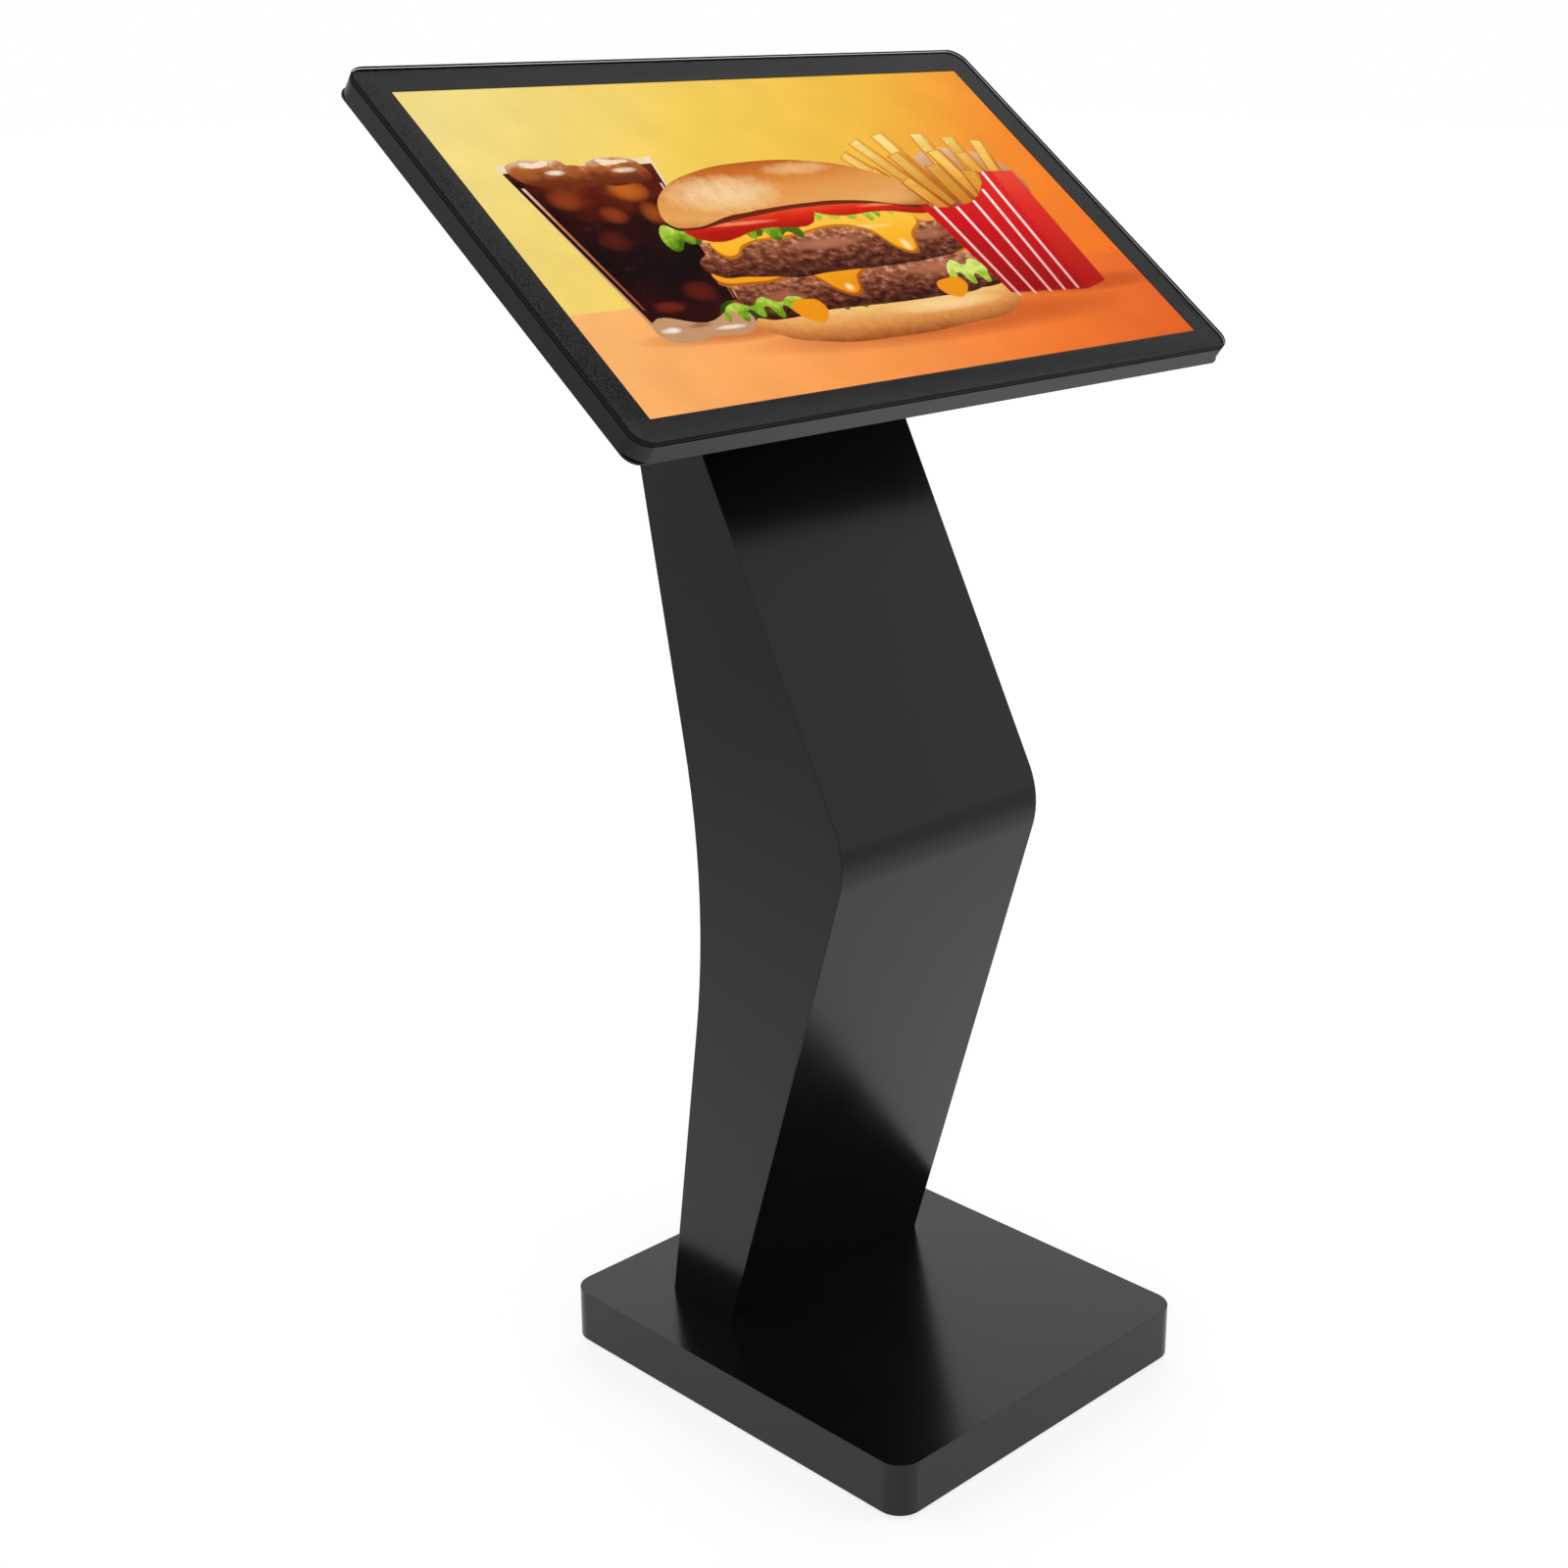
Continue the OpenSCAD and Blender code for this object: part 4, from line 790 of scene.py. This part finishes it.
def glow(material_tree_shader, colour):
    """The ink shines by itself, as a lit screen does."""
    _, tree, shader = material_tree_shader
    tree.links.new(colour, shader.inputs["Emission Color"])
    shader.inputs["Emission Strength"].default_value = 1.0
    shader.inputs["Specular IOR Level"].default_value = 0.0


def food_ink(name, middle, half, stops, grain=0.0, grain_scale=150.0, round_shade=0.0, side=0.0,
             squeeze=1.0, glints=()):
    """Glowing ink shaded from bottom (0) to top (1), darker at its rim, with a grain.

    Each glint is a soft oval of light: its middle, its half sizes in metres, and its colour.
    """
    made = new_material("picture_" + name, (0, 0, 0), 0.6)
    _, tree, _ = made
    spot = spot_on(tree, middle, half)
    value = span(tree, spot.outputs["Up"], -1.0, 1.0)
    if side:
        value = maths(tree, "ADD", value, maths(tree, "MULTIPLY", spot.outputs["Across"], -side))
    if round_shade:
        square = maths(tree, "MULTIPLY", spot.outputs["Across"], spot.outputs["Across"])
        fourth = maths(tree, "MULTIPLY", square, square)
        value = maths(tree, "SUBTRACT", value, maths(tree, "MULTIPLY", fourth, round_shade))
    swing = None
    if grain:
        stretch = add_node(tree, "ShaderNodeMapping", {"Scale": (1.0, squeeze, 1.0)})
        tree.links.new(spot.outputs["Place"], stretch.inputs["Vector"])
        noise = add_node(tree, "ShaderNodeTexNoise", {
            "Scale": grain_scale, "Detail": 5.0, "Roughness": 0.62})
        tree.links.new(stretch.outputs[0], noise.inputs["Vector"])
        swing = maths(tree, "SUBTRACT", noise.outputs["Fac"], 0.5)
        value = maths(tree, "ADD", value, maths(tree, "MULTIPLY", swing, grain))
    colour = ramp(tree, maths(tree, "ADD", value, 0.0, clamp=True), stops)
    for x, y, half_x, half_y, *tint in glints:
        far = spot_on(tree, (x, y), (half_x, half_y))
        square_x = maths(tree, "MULTIPLY", far.outputs["Across"], far.outputs["Across"])
        square_y = maths(tree, "MULTIPLY", far.outputs["Up"], far.outputs["Up"])
        away = maths(tree, "ADD", square_x, square_y)
        if swing is not None:
            away = maths(tree, "ADD", away, maths(tree, "MULTIPLY", swing, 1.2))
        share = span(tree, away, 0.0, 1.0, 0.85, 0.0)
        colour = mix_colour(tree, share, colour, srgb(*tint))
    glow(made, colour)
    return made[0]


# %% [markdown]
# Behind the food is a wall that goes from pale yellow on the left to orange on the right, and a
# table in the same warm orange. The food throws soft shadows to the right on the table.

# %% Picture: wall and table
TABLE_LINE = -0.078
wall = new_material("lit_picture", (0, 0, 0), 0.5)
_, tree, _ = wall
spot = spot_on(tree, (0.0, 0.0), (SCREEN.x / 2, SCREEN.y / 2))
slant = maths(tree, "MULTIPLY", spot.outputs["Up"], -0.45)
across = maths(tree, "ADD", spot.outputs["Across"], slant)
wall_colour = ramp(tree, span(tree, across, -1.3, 1.3), (
    (0.0, 245, 222, 138), (0.3, 246, 208, 92), (0.55, 246, 190, 66),
    (0.78, 247, 140, 40), (1.0, 246, 104, 24)))
table_colour = ramp(tree, span(tree, across, -0.8, 1.4), (
    (0.0, 252, 184, 112), (0.4, 251, 158, 82), (0.75, 244, 122, 46),
    (1.0, 228, 98, 34)))
cloud = add_node(tree, "ShaderNodeTexNoise", {"Scale": 16.0, "Detail": 3.0})
tree.links.new(spot.outputs["Place"], cloud.inputs["Vector"])
shade = span(tree, cloud.outputs["Fac"], 0.3, 0.7, 0.94, 1.04)
shadow_mask = None
for middle, half in (((0.05, -0.140), (0.26, 0.024)), ((0.26, -0.116), (0.13, 0.013)),
                     ((-0.17, -0.118), (0.14, 0.014))):
    painted_pool = spot_on(tree, middle, half)
    squares = [maths(tree, "POWER", maths(tree, "ABSOLUTE", painted_pool.outputs[side]), 2.0)
               for side in ("Across", "Up")]
    far = maths(tree, "ADD", *squares)
    pool_mask = span(tree, far, 0.2, 1.0, 1.0, 0.0)
    if shadow_mask is not None:
        pool_mask = maths(tree, "MAXIMUM", shadow_mask, pool_mask)
    shadow_mask = pool_mask
on_table = span(tree, spot.outputs["Up"], (TABLE_LINE - 0.001) / SCREEN.y * 2,
                (TABLE_LINE + 0.001) / SCREEN.y * 2, 1.0, 0.0)
backdrop = mix_colour(tree, on_table, wall_colour, table_colour)
shadowed = maths(tree, "MULTIPLY", maths(tree, "MULTIPLY", shadow_mask, on_table), 0.55)
backdrop = mix_colour(tree, shadowed, backdrop, srgb(176, 62, 18))
lit = add_node(tree, "ShaderNodeVectorMath", operation="SCALE")
tree.links.new(backdrop, lit.inputs[0])
tree.links.new(shade, lit.inputs["Scale"])
glow(wall, lit.outputs[0])

# %% [markdown]
# The display's cell is a thin slab. Its rim is dull black, and the lit area is set into it with
# an inset of its front face, as the mask round a real panel does.

# %% Piece: display cell
COLLAGE_ROOM = 0.0006
CELL_BEVEL = 0.0003
bpy.ops.object.select_all(action="DESELECT")
bpy.ops.mesh.primitive_cube_add(size=1)
cell = bpy.context.object
cell.name = "display_cell"
cell_size = cell_high - cell_low
cell_size.z -= COLLAGE_ROOM
for vertex in cell.data.vertices:
    at = Vector(a * b for a, b in zip(vertex.co, cell_size))
    at -= Vector((0, 0, cell_size.z / 2 + COLLAGE_ROOM))
    vertex.co = to_world @ at
bpy.ops.object.mode_set(mode="EDIT")
select_sharp(cell)
bpy.ops.mesh.bevel(offset=CELL_BEVEL, segments=2)
select_faces(cell, lambda face: face.normal.dot(out_of_glass) > 0.99)
bpy.ops.mesh.inset(thickness=CELL_MARGIN - CELL_BEVEL, depth=0)
cell.data.materials.append(plastic)
cell.data.materials.append(wall[0])
bpy.context.object.active_material_index = 1
bpy.ops.object.material_slot_assign()
bpy.ops.object.mode_set(mode="OBJECT")
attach(cell, "stand")
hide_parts("display_panel")
print("display cell has", len(cell.data.polygons), "faces")

# %% [markdown]
# A collage shape is a closed outline through a few listed points. The outline can run
# smoothly through them or turn sharply at each. Blender fills a flat curve by itself, and
# converting it gives a mesh. Points are in centimetres from the picture's middle, because that is
# easy to think in.

# %% Helper: a collage shape
COLLAGE_STEP = 0.00002
collage = {"drink": [], "burger": [], "chips": []}
layers_used = {"drink": 0, "burger": 0, "chips": 0}


def cut_out(group, points, ink_used, smooth=True, lift=1):
    """A filled shape on the next layer of its group."""
    layers_used[group] += lift
    curve = bpy.data.curves.new(group + "_cut", "CURVE")
    curve.dimensions = "2D"
    curve.fill_mode = "BOTH"
    curve.resolution_u = 6 if smooth else 1
    line = curve.splines.new("BEZIER")
    line.bezier_points.add(len(points) - 1)
    for point, (x, y) in zip(line.bezier_points, points):
        point.co = (x / 100, y / 100, 0)
        point.handle_left_type = point.handle_right_type = "AUTO" if smooth else "VECTOR"
    line.use_cyclic_u = True
    shape = bpy.data.objects.new(group + "_cut", curve)
    scene.collection.objects.link(shape)
    only(shape)
    bpy.ops.object.convert(target="MESH")
    shape = bpy.context.object
    height = layers_used[group] * COLLAGE_STEP - COLLAGE_ROOM
    shape.data.transform(to_world @ Matrix.Translation((0, 0, height)))
    if shape.data.polygons and shape.data.polygons[0].normal.dot(out_of_glass) < 0:
        shape.data.flip_normals()
    shape.data.materials.append(ink_used)
    collage[group].append(shape)
    return shape


def wavy(x0, x1, y, wave, count, seed, rise=0.0):
    """Points along a wavy line from x0 to x1; rise bends it up in the middle."""
    dice = random.Random(seed)
    made = []
    for i in range(count + 1):
        t = i / count
        sway = wave * (1 if i % 2 else -1) * (0.55 + 0.75 * dice.random())
        made.append((x0 + (x1 - x0) * t, y + sway + rise * (1 - (2 * t - 1) ** 2)))
    return made


def oval(x, y, half_x, half_y, count=12, power=1.0, rough=0.0, seed=1):
    """Points round an oval; a power under 1 squares it, and rough makes its rim uneven."""
    dice = random.Random(seed)
    made = []
    for i in range(count):
        a = math.tau * i / count
        cosine, sine = math.cos(a), math.sin(a)
        r = 1 + rough * (dice.random() - 0.5)
        made.append((x + half_x * r * math.copysign(abs(cosine) ** power, cosine),
                     y + half_y * r * math.copysign(abs(sine) ** power, sine)))
    return made


def bar(x, y, length, width, angle):
    """The corners of a bar that stands on x, y and leans by an angle."""
    cosine, sine = math.cos(math.radians(angle)), math.sin(math.radians(angle))
    half = width / 2
    return [(x + cosine * u - sine * v, y + sine * u + cosine * v)
            for u, v in ((-half, 0), (half, 0), (half, length), (-half, length))]


# %% [markdown]
# The drink is a tall glass of dark cola with ice. From back to front: the pale glass, the drink
# with amber light in it, the ice, bright streaks on the glass, and the thick clear foot.

# %% Picture: the drink
glass_ink = food_ink("glass", (-0.22, 0), (0.09, 0.11), (
    (0, 196, 146, 108), (0.5, 206, 170, 116), (1, 240, 226, 196)), 0.5, 60,
    glints=((-0.262, -0.108, 0.012, 0.004, 255, 250, 244), (-0.2, -0.112, 0.02, 0.003,
            250, 236, 224), (-0.23, -0.106, 0.016, 0.003, 150, 92, 70)))
cola_ink = food_ink("cola", (-0.215, 0), (0.085, 0.1), (
    (0, 46, 10, 8), (0.3, 14, 3, 4), (0.6, 40, 8, 6), (0.8, 94, 26, 10),
    (1, 150, 66, 24)), 0.6, 34, round_shade=0.25, glints=(
    (-0.262, 0.052, 0.02, 0.014, 150, 62, 20), (-0.19, 0.058, 0.024, 0.016, 206, 104, 26),
    (-0.225, 0.03, 0.016, 0.012, 150, 60, 22), (-0.182, 0.028, 0.014, 0.016, 168, 76, 22),
    (-0.246, 0, 0.018, 0.014, 92, 26, 12), (-0.2, -0.068, 0.022, 0.014, 96, 28, 14),
    (-0.244, -0.082, 0.018, 0.008, 120, 36, 20)))
ice_ink = food_ink("ice", (-0.21, 0.082), (0.08, 0.022), (
    (0, 70, 22, 10), (0.35, 118, 50, 20), (0.7, 176, 98, 44),
    (1, 232, 196, 160)), 0.8, 70, glints=(
    (-0.25, 0.086, 0.012, 0.004, 255, 244, 230), (-0.176, 0.084, 0.016, 0.004,
     250, 226, 200)))
shine_ink = food_ink("shine", (-0.2, 0), (0.1, 0.1), (
    (0, 126, 50, 30), (0.6, 196, 116, 70), (1, 250, 226, 196)), 0.4, 90)
bubble_ink = food_ink("bubble", (-0.2, 0), (0.1, 0.1), (
    (0, 138, 66, 44), (1, 186, 110, 70)), 0.4, 90)
cut_out("drink", [(-30.7, 9.9), (-22, 9.3), (-13.6, 9.9), (-13.9, 8), (-17, -11.4), (-22, -12),
                  (-27.6, -11.4), (-30.3, 8)], glass_ink, smooth=False)
cut_out("drink", [(-30.4, 8.9), (-26, 9.2), (-20, 8.9), (-14, 9), (-17.1, -9.6), (-22, -10.4),
                  (-27.5, -9.7)], cola_ink, smooth=False)
ICE = ((-26.4, 8.6, 3.3, 1.7, 3), (-18.4, 8.5, 3.5, 1.6, 4), (-22.6, 7.9, 1.7, 1.3, 5))
for x, y, half_x, half_y, seed in ICE:
    cut_out("drink", oval(x, y, half_x, half_y, 9, 0.6, 0.3, seed), ice_ink, lift=int(seed == 3))
for x, y, half_x, half_y, seed in ((-26.6, 9.7, 1.7, 0.3, 8), (-18.2, 9.5, 1.8, 0.28, 9)):
    cut_out("drink", oval(x, y, half_x, half_y, 8, 0.8, 0.5, seed), shine_ink, lift=int(seed == 8))
cut_out("drink", [(-29.7, 7), (-29.35, 7), (-27.05, -8.2), (-27.3, -8.2)],
        shine_ink, smooth=False)
cut_out("drink", [(-14.9, 6.5), (-14.65, 6.4), (-17, -8), (-17.2, -8)],
        shine_ink, smooth=False, lift=0)
bubbles = random.Random(12)
for i in range(34):
    x = -26.6 + 8.4 * bubbles.random()
    y = -9 + 13 * bubbles.random()
    cut_out("drink", oval(x, y, 0.06, 0.06, 6), bubble_ink, lift=0)
cut_out("drink", [(-27.45, -9.7), (-22, -10.4), (-17.1, -9.6), (-17.1, -11.3), (-22, -12),
                  (-27.55, -11.4)],
        glass_ink)

# %% [markdown]
# The chips stand in a red carton with white stripes. Each chip is a bar with a darker rim and a
# lighter face, and leans its own way. A carton's front has a hollow upper edge, so the chips rise
# out of the curve.

# %% Picture: the chips
carton_back_ink = food_ink("carton_back", (0.235, 0.05), (0.1, 0.05), (
    (0, 150, 60, 40), (0.6, 214, 160, 120), (1, 238, 206, 172)), 0.2, 40)
chip_rim = food_ink("chip_rim", (0.22, 0.05), (0.1, 0.055), (
    (0, 146, 66, 12), (0.6, 214, 132, 36), (1, 232, 166, 66)), 0.5, 60)
chip_faces = [food_ink("chip_%d" % i, (0.22, 0.055), (0.1, 0.055), (
    (0, 206, 120, 30), (0.4, 240 - 12 * i, 176 - 12 * i, 70 - 8 * i),
    (0.8, 252 - 8 * i, 214 - 12 * i, 116 - 12 * i), (1, 255, 226, 140)), 0.5, 70, side=0.1)
    for i in range(3)]
carton_ink = food_ink("carton", (0.232, -0.035), (0.09, 0.08), (
    (0, 158, 4, 10), (0.5, 206, 12, 18), (1, 226, 36, 30)), 0.15, 30, side=-0.18)
stripe_ink = food_ink("stripe", (0.232, -0.035), (0.09, 0.08), (
    (0, 236, 176, 170), (1, 255, 244, 236)), 0.1, 30, side=-0.1)
carton_side_ink = food_ink("carton_side", (0.28, -0.035), (0.03, 0.08), (
    (0, 176, 14, 12), (0.7, 222, 40, 30), (1, 236, 70, 50)), 0.1, 30)
CHIPS = ((14.4, 2.4, 11.6, 1.9, 34), (16, 3, 12.2, 2.1, 24), (18, 3, 12.4, 2.3, 12),
         (21, 3.2, 11.6, 2.4, -2), (24.4, 3.4, 10.4, 2.3, -6), (27, 3.6, 9.4, 2, -14),
         (15, 1.2, 9.4, 2.2, 32), (17.8, 2, 10, 2.4, 14), (22.6, 2.2, 9.6, 2.4, 8),
         (25.4, 2.2, 8.8, 2.2, 2), (20.2, 0.6, 9, 2.6, 4), (16.8, 0.4, 7.6, 2.4, 22),
         (23.2, 1, 7, 2.4, -8))
cut_out("chips", [(15.6, 3), (18.5, 7.4), (24.5, 8.2), (30, 4.6), (29, 0), (15, -2)],
        carton_back_ink)
for i, (x, y, length, width, lean) in enumerate(CHIPS):
    cut_out("chips", bar(x, y - 1.5, length * 0.78, width, lean), chip_rim, smooth=False)
    cut_out("chips", bar(x - 0.12, y - 1.5, length * 0.765, width * 0.62, lean),
            chip_faces[(i + 1) % 3], smooth=False)
cut_out("chips", [(13.4, 0.9), (15.2, 0.3), (17.6, 0.1), (20.2, 0.5), (22.4, 1.5), (24.2, 3),
                  (25.2, 4.6),
                  (27, 4.6), (25.6, -12.4), (15.2, -11.6)], carton_ink, smooth=False)
cut_out("chips", [(27, 4.6), (29.9, 4.4), (29, -11.6), (25.6, -12.4)],
        carton_side_ink, smooth=False, lift=0)
STRIPES = ((15.8, 14.9, 0.4), (18, 17.8, 0.1), (20.2, 20.7, 0.7), (22.2, 23.3, 2.1),
                  (24.2, 25.4, 4.5))
for low_x, high_x, high_y in STRIPES:
    cut_out("chips", [(high_x, high_y), (high_x + 0.42, high_y + 0.1), (low_x + 0.36, -12.2),
                      (low_x, -12.1)], stripe_ink, smooth=False, lift=int(low_x < 17))

# %% [markdown]
# The burger is built as a cook stacks it: lower bun, lettuce, meat, melted cheese, meat, cheese,
# lettuce, tomato, and the domed top bun. Meat gets a coarse grain, buns a fine one, and the
# cheese hangs over the meat in soft tongues. Leaves have a dark shape behind a light one, for
# their folds.

# %% Picture: inks for the burger
bun_ink = food_ink("bun", (-0.01, 0.045), (0.165, 0.045), (
    (0, 196, 118, 56), (0.2, 232, 164, 92), (0.5, 228, 152, 74),
    (0.8, 204, 112, 40), (1, 176, 84, 28)), 0.16, 90, round_shade=0.12, side=0.1, glints=(
    (-0.09, 0.045, 0.075, 0.026, 250, 214, 160), (0.02, 0.07, 0.05, 0.01, 240, 186, 120),
    (0.1, 0.02, 0.05, 0.01, 236, 172, 98)))
low_bun_ink = food_ink("low_bun", (0, -0.122), (0.165, 0.026), (
    (0, 156, 76, 28), (0.35, 222, 146, 74), (0.75, 246, 196, 120),
    (1, 226, 152, 84)), 0.3, 110, round_shade=0.3, glints=(
    (0.06, -0.118, 0.08, 0.01, 252, 214, 150),))
MEAT = ((0, 40, 14, 8), (0.3, 84, 38, 24), (0.55, 126, 66, 44), (0.8, 170, 104, 74),
        (1, 214, 156, 120))
meat_ink = food_ink("meat", (0, -0.038), (0.165, 0.04), MEAT, 2, 95, squeeze=1.6, glints=(
    (-0.02, -0.028, 0.05, 0.008, 186, 116, 84), (0.11, -0.03, 0.03, 0.008, 176, 108, 78)))
low_meat_ink = food_ink("low_meat", (0, -0.084), (0.165, 0.034), MEAT, 2, 95, squeeze=1.6,
                        glints=((0.09, -0.072, 0.05, 0.01, 180, 110, 80),
                                (-0.12, -0.086, 0.03, 0.008, 168, 100, 72)))
CHEESE = ((0, 238, 146, 14), (0.5, 252, 180, 32), (1, 255, 208, 82))
cheese_ink = food_ink("cheese", (0, -0.03), (0.16, 0.055), CHEESE, 0.35, 26, glints=(
    (0.074, -0.04, 0.006, 0.01, 255, 236, 180), (-0.036, -0.084, 0.006, 0.006,
     255, 232, 170), (0.02, -0.013, 0.06, 0.004, 255, 232, 160)))
cheese_dark = food_ink("cheese_edge", (0, -0.03), (0.16, 0.055), (
    (0, 176, 88, 4), (1, 214, 130, 16)), 0.3, 40)
LEAF = ((0, 58, 96, 10), (0.4, 116, 160, 26), (0.75, 168, 200, 60),
        (1, 216, 232, 120))
leaf_ink = food_ink("leaf", (0, -0.004), (0.17, 0.018), LEAF, 1.6, 90)
leaf_dark = food_ink("leaf_dark", (0, -0.05), (0.17, 0.08), (
    (0, 30, 56, 6), (1, 78, 112, 18)), 0.8, 60)
low_leaf_ink = food_ink("low_leaf", (0, -0.098), (0.17, 0.02), LEAF, 1.6, 90)
tomato_ink = food_ink("tomato", (0, 0.01), (0.15, 0.014), (
    (0, 160, 14, 4), (0.5, 214, 34, 12), (0.85, 238, 70, 34), (1, 250, 150, 100)),
    0.5, 60, side=0.15, glints=((-0.1, 0.006, 0.05, 0.003, 252, 150, 110),
                                (0.09, 0.014, 0.04, 0.003, 252, 140, 100)))
bun_shadow = food_ink("bun_shadow", (0, 0), (0.2, 0.05), (
    (0, 60, 18, 6), (1, 110, 46, 16)), 0.2, 30)

# %% Picture: the burger
STACK = (
    ([(-17.4, -9.4), (-10, -10.2), (0, -10.4), (10, -10.1), (16.6, -8.8), (16.9, -10.6),
      (14.6, -13.2),
      (7, -14.5), (-3, -14.9), (-11, -14.3), (-16, -12.4)], low_bun_ink),
    ([(-17.6, -9.2), (-4, -10.4), (8, -10.4), (16.8, -8.8), (16, -7.6), (-16, -8)], bun_shadow),
    (wavy(-19.8, -3, -10.3, 0.5, 12, 27) + wavy(-3, -19.4, -8.6, 0.4, 6, 28), leaf_dark),
    (wavy(5, 17.9, -9.4, 0.6, 9, 29) + wavy(17.6, 5, -7.2, 0.4, 5, 30), leaf_dark),
    (wavy(-6, 6, -10.6, 0.35, 10, 23) + wavy(6, -6, -9.4, 0.2, 4, 24), low_leaf_ink),
    (oval(-0.9, -7.9, 16.6, 3, 34, 0.62, 0.1, 31), low_meat_ink),
    (wavy(-19.6, -9.5, -10.2, 0.7, 10, 21) + wavy(-9.5, -19.2, -8.9, 0.45, 6, 22), low_leaf_ink),
    (wavy(9.8, 17.8, -9.1, 0.7, 8, 25) + wavy(17.6, 11, -7.1, 0.45, 5, 26), low_leaf_ink),
    ([(-17.6, -5.4), (-13, -6.8), (-7, -6.6), (-4.6, -9.2), (-3, -9.5), (-1.2, -7.2), (3, -6.2),
      (9, -5.8), (14.4, -5.4), (15, -4.8), (6, -4.6), (-6, -4.6)], cheese_dark),
    ([(-17.5, -5.1), (-13, -6.5), (-7, -6.2), (-4.5, -8.8), (-3.1, -9.1), (-1.4, -6.9), (3, -5.9),
      (9, -5.5), (14.4, -5.1), (15, -4.6), (6, -4.4), (-6, -4.4)], cheese_ink),
    ([(-11.8, -9.8), (-10.4, -12), (-9.2, -11.9), (-8.2, -9.8), (-10, -9.2)], cheese_ink),
    ([(6.8, -9.6), (8, -11.2), (9.4, -11), (10.6, -9.2), (8.6, -8.8)], cheese_ink),
    (oval(-0.9, -3.6, 16.4, 2.9, 34, 0.62, 0.1, 32), meat_ink),
    ([(-14.8, -1.2), (-14.6, -3.3), (-13.2, -3.5), (-11.6, -2.3), (-6, -1.7), (4, -1.7),
      (6.4, -4.8),
      (8, -5.2), (9.4, -3), (11.6, -0.8), (10, 0.2), (-6, 0.4)], cheese_dark),
    ([(-14.7, -0.9), (-14.5, -2.9), (-13.2, -3.1), (-11.6, -2), (-6, -1.4), (4.2, -1.4),
      (6.5, -4.4),
      (7.9, -4.8), (9.2, -2.7), (11.4, -0.5), (10, 0.4), (-6, 0.6)], cheese_ink),
    (wavy(-18.6, -4, -1.6, 0.4, 12, 45, 0.8) + wavy(-4, -18.4, 0.5, 0.3, 7, 46), leaf_dark),
    (wavy(-19, -6, -1.5, 0.7, 11, 41, 1) + wavy(-6, -18.6, 0.9, 0.5, 7, 42), leaf_ink),
    (wavy(-7, 6, -0.2, 0.45, 12, 47, 0.5) + wavy(6, -7, 1.4, 0.3, 6, 48), leaf_ink),
    (wavy(7, 16.2, 0.1, 0.5, 9, 43, 0.3) + wavy(16, 7, 1.4, 0.3, 5, 44), leaf_ink),
    ([(-16.6, 1), (-9, 1.7), (-1, 2.3), (-0.4, 0.9), (-8, -0.3), (-15.8, -0.8)], tomato_ink),
    ([(-1.6, 2.4), (8, 2.2), (14.4, 1), (14.6, 0.2), (8, 0.5), (0, 1)], tomato_ink),
    ([(-17.2, 0.9), (-9, 1.8), (-1, 2.4), (8, 2.2), (14.6, 1), (14.4, 0.5), (8, 1.6), (-1, 1.9),
      (-9, 1.2), (-16.6, 0.4)], bun_shadow),
    ([(-17.6, 1.2), (-17.5, 3), (-15.4, 5.4), (-10.5, 7.4), (-3, 8.3), (4, 7.9), (10.6, 6),
      (14.6, 3.2),
      (15.2, 1.2), (13.6, 0.9), (6, 2.2), (-2, 2.5), (-10, 1.7), (-15.8, 0.6)], bun_ink),
)
for points, ink_used in STACK:
    cut_out("burger", points, ink_used)
print("layers in the collage:", layers_used)

# %% Join the collage
for group in ("drink", "chips", "burger"):
    shapes = collage[group]
    bpy.ops.object.select_all(action="DESELECT")
    for shape in shapes:
        shape.select_set(True)
    bpy.context.view_layer.objects.active = shapes[0]
    bpy.ops.object.join()
    joined = bpy.context.object
    joined.name = "picture_" + group
    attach(joined, "stand")
    print(joined.name, "faces:", len(joined.data.polygons))
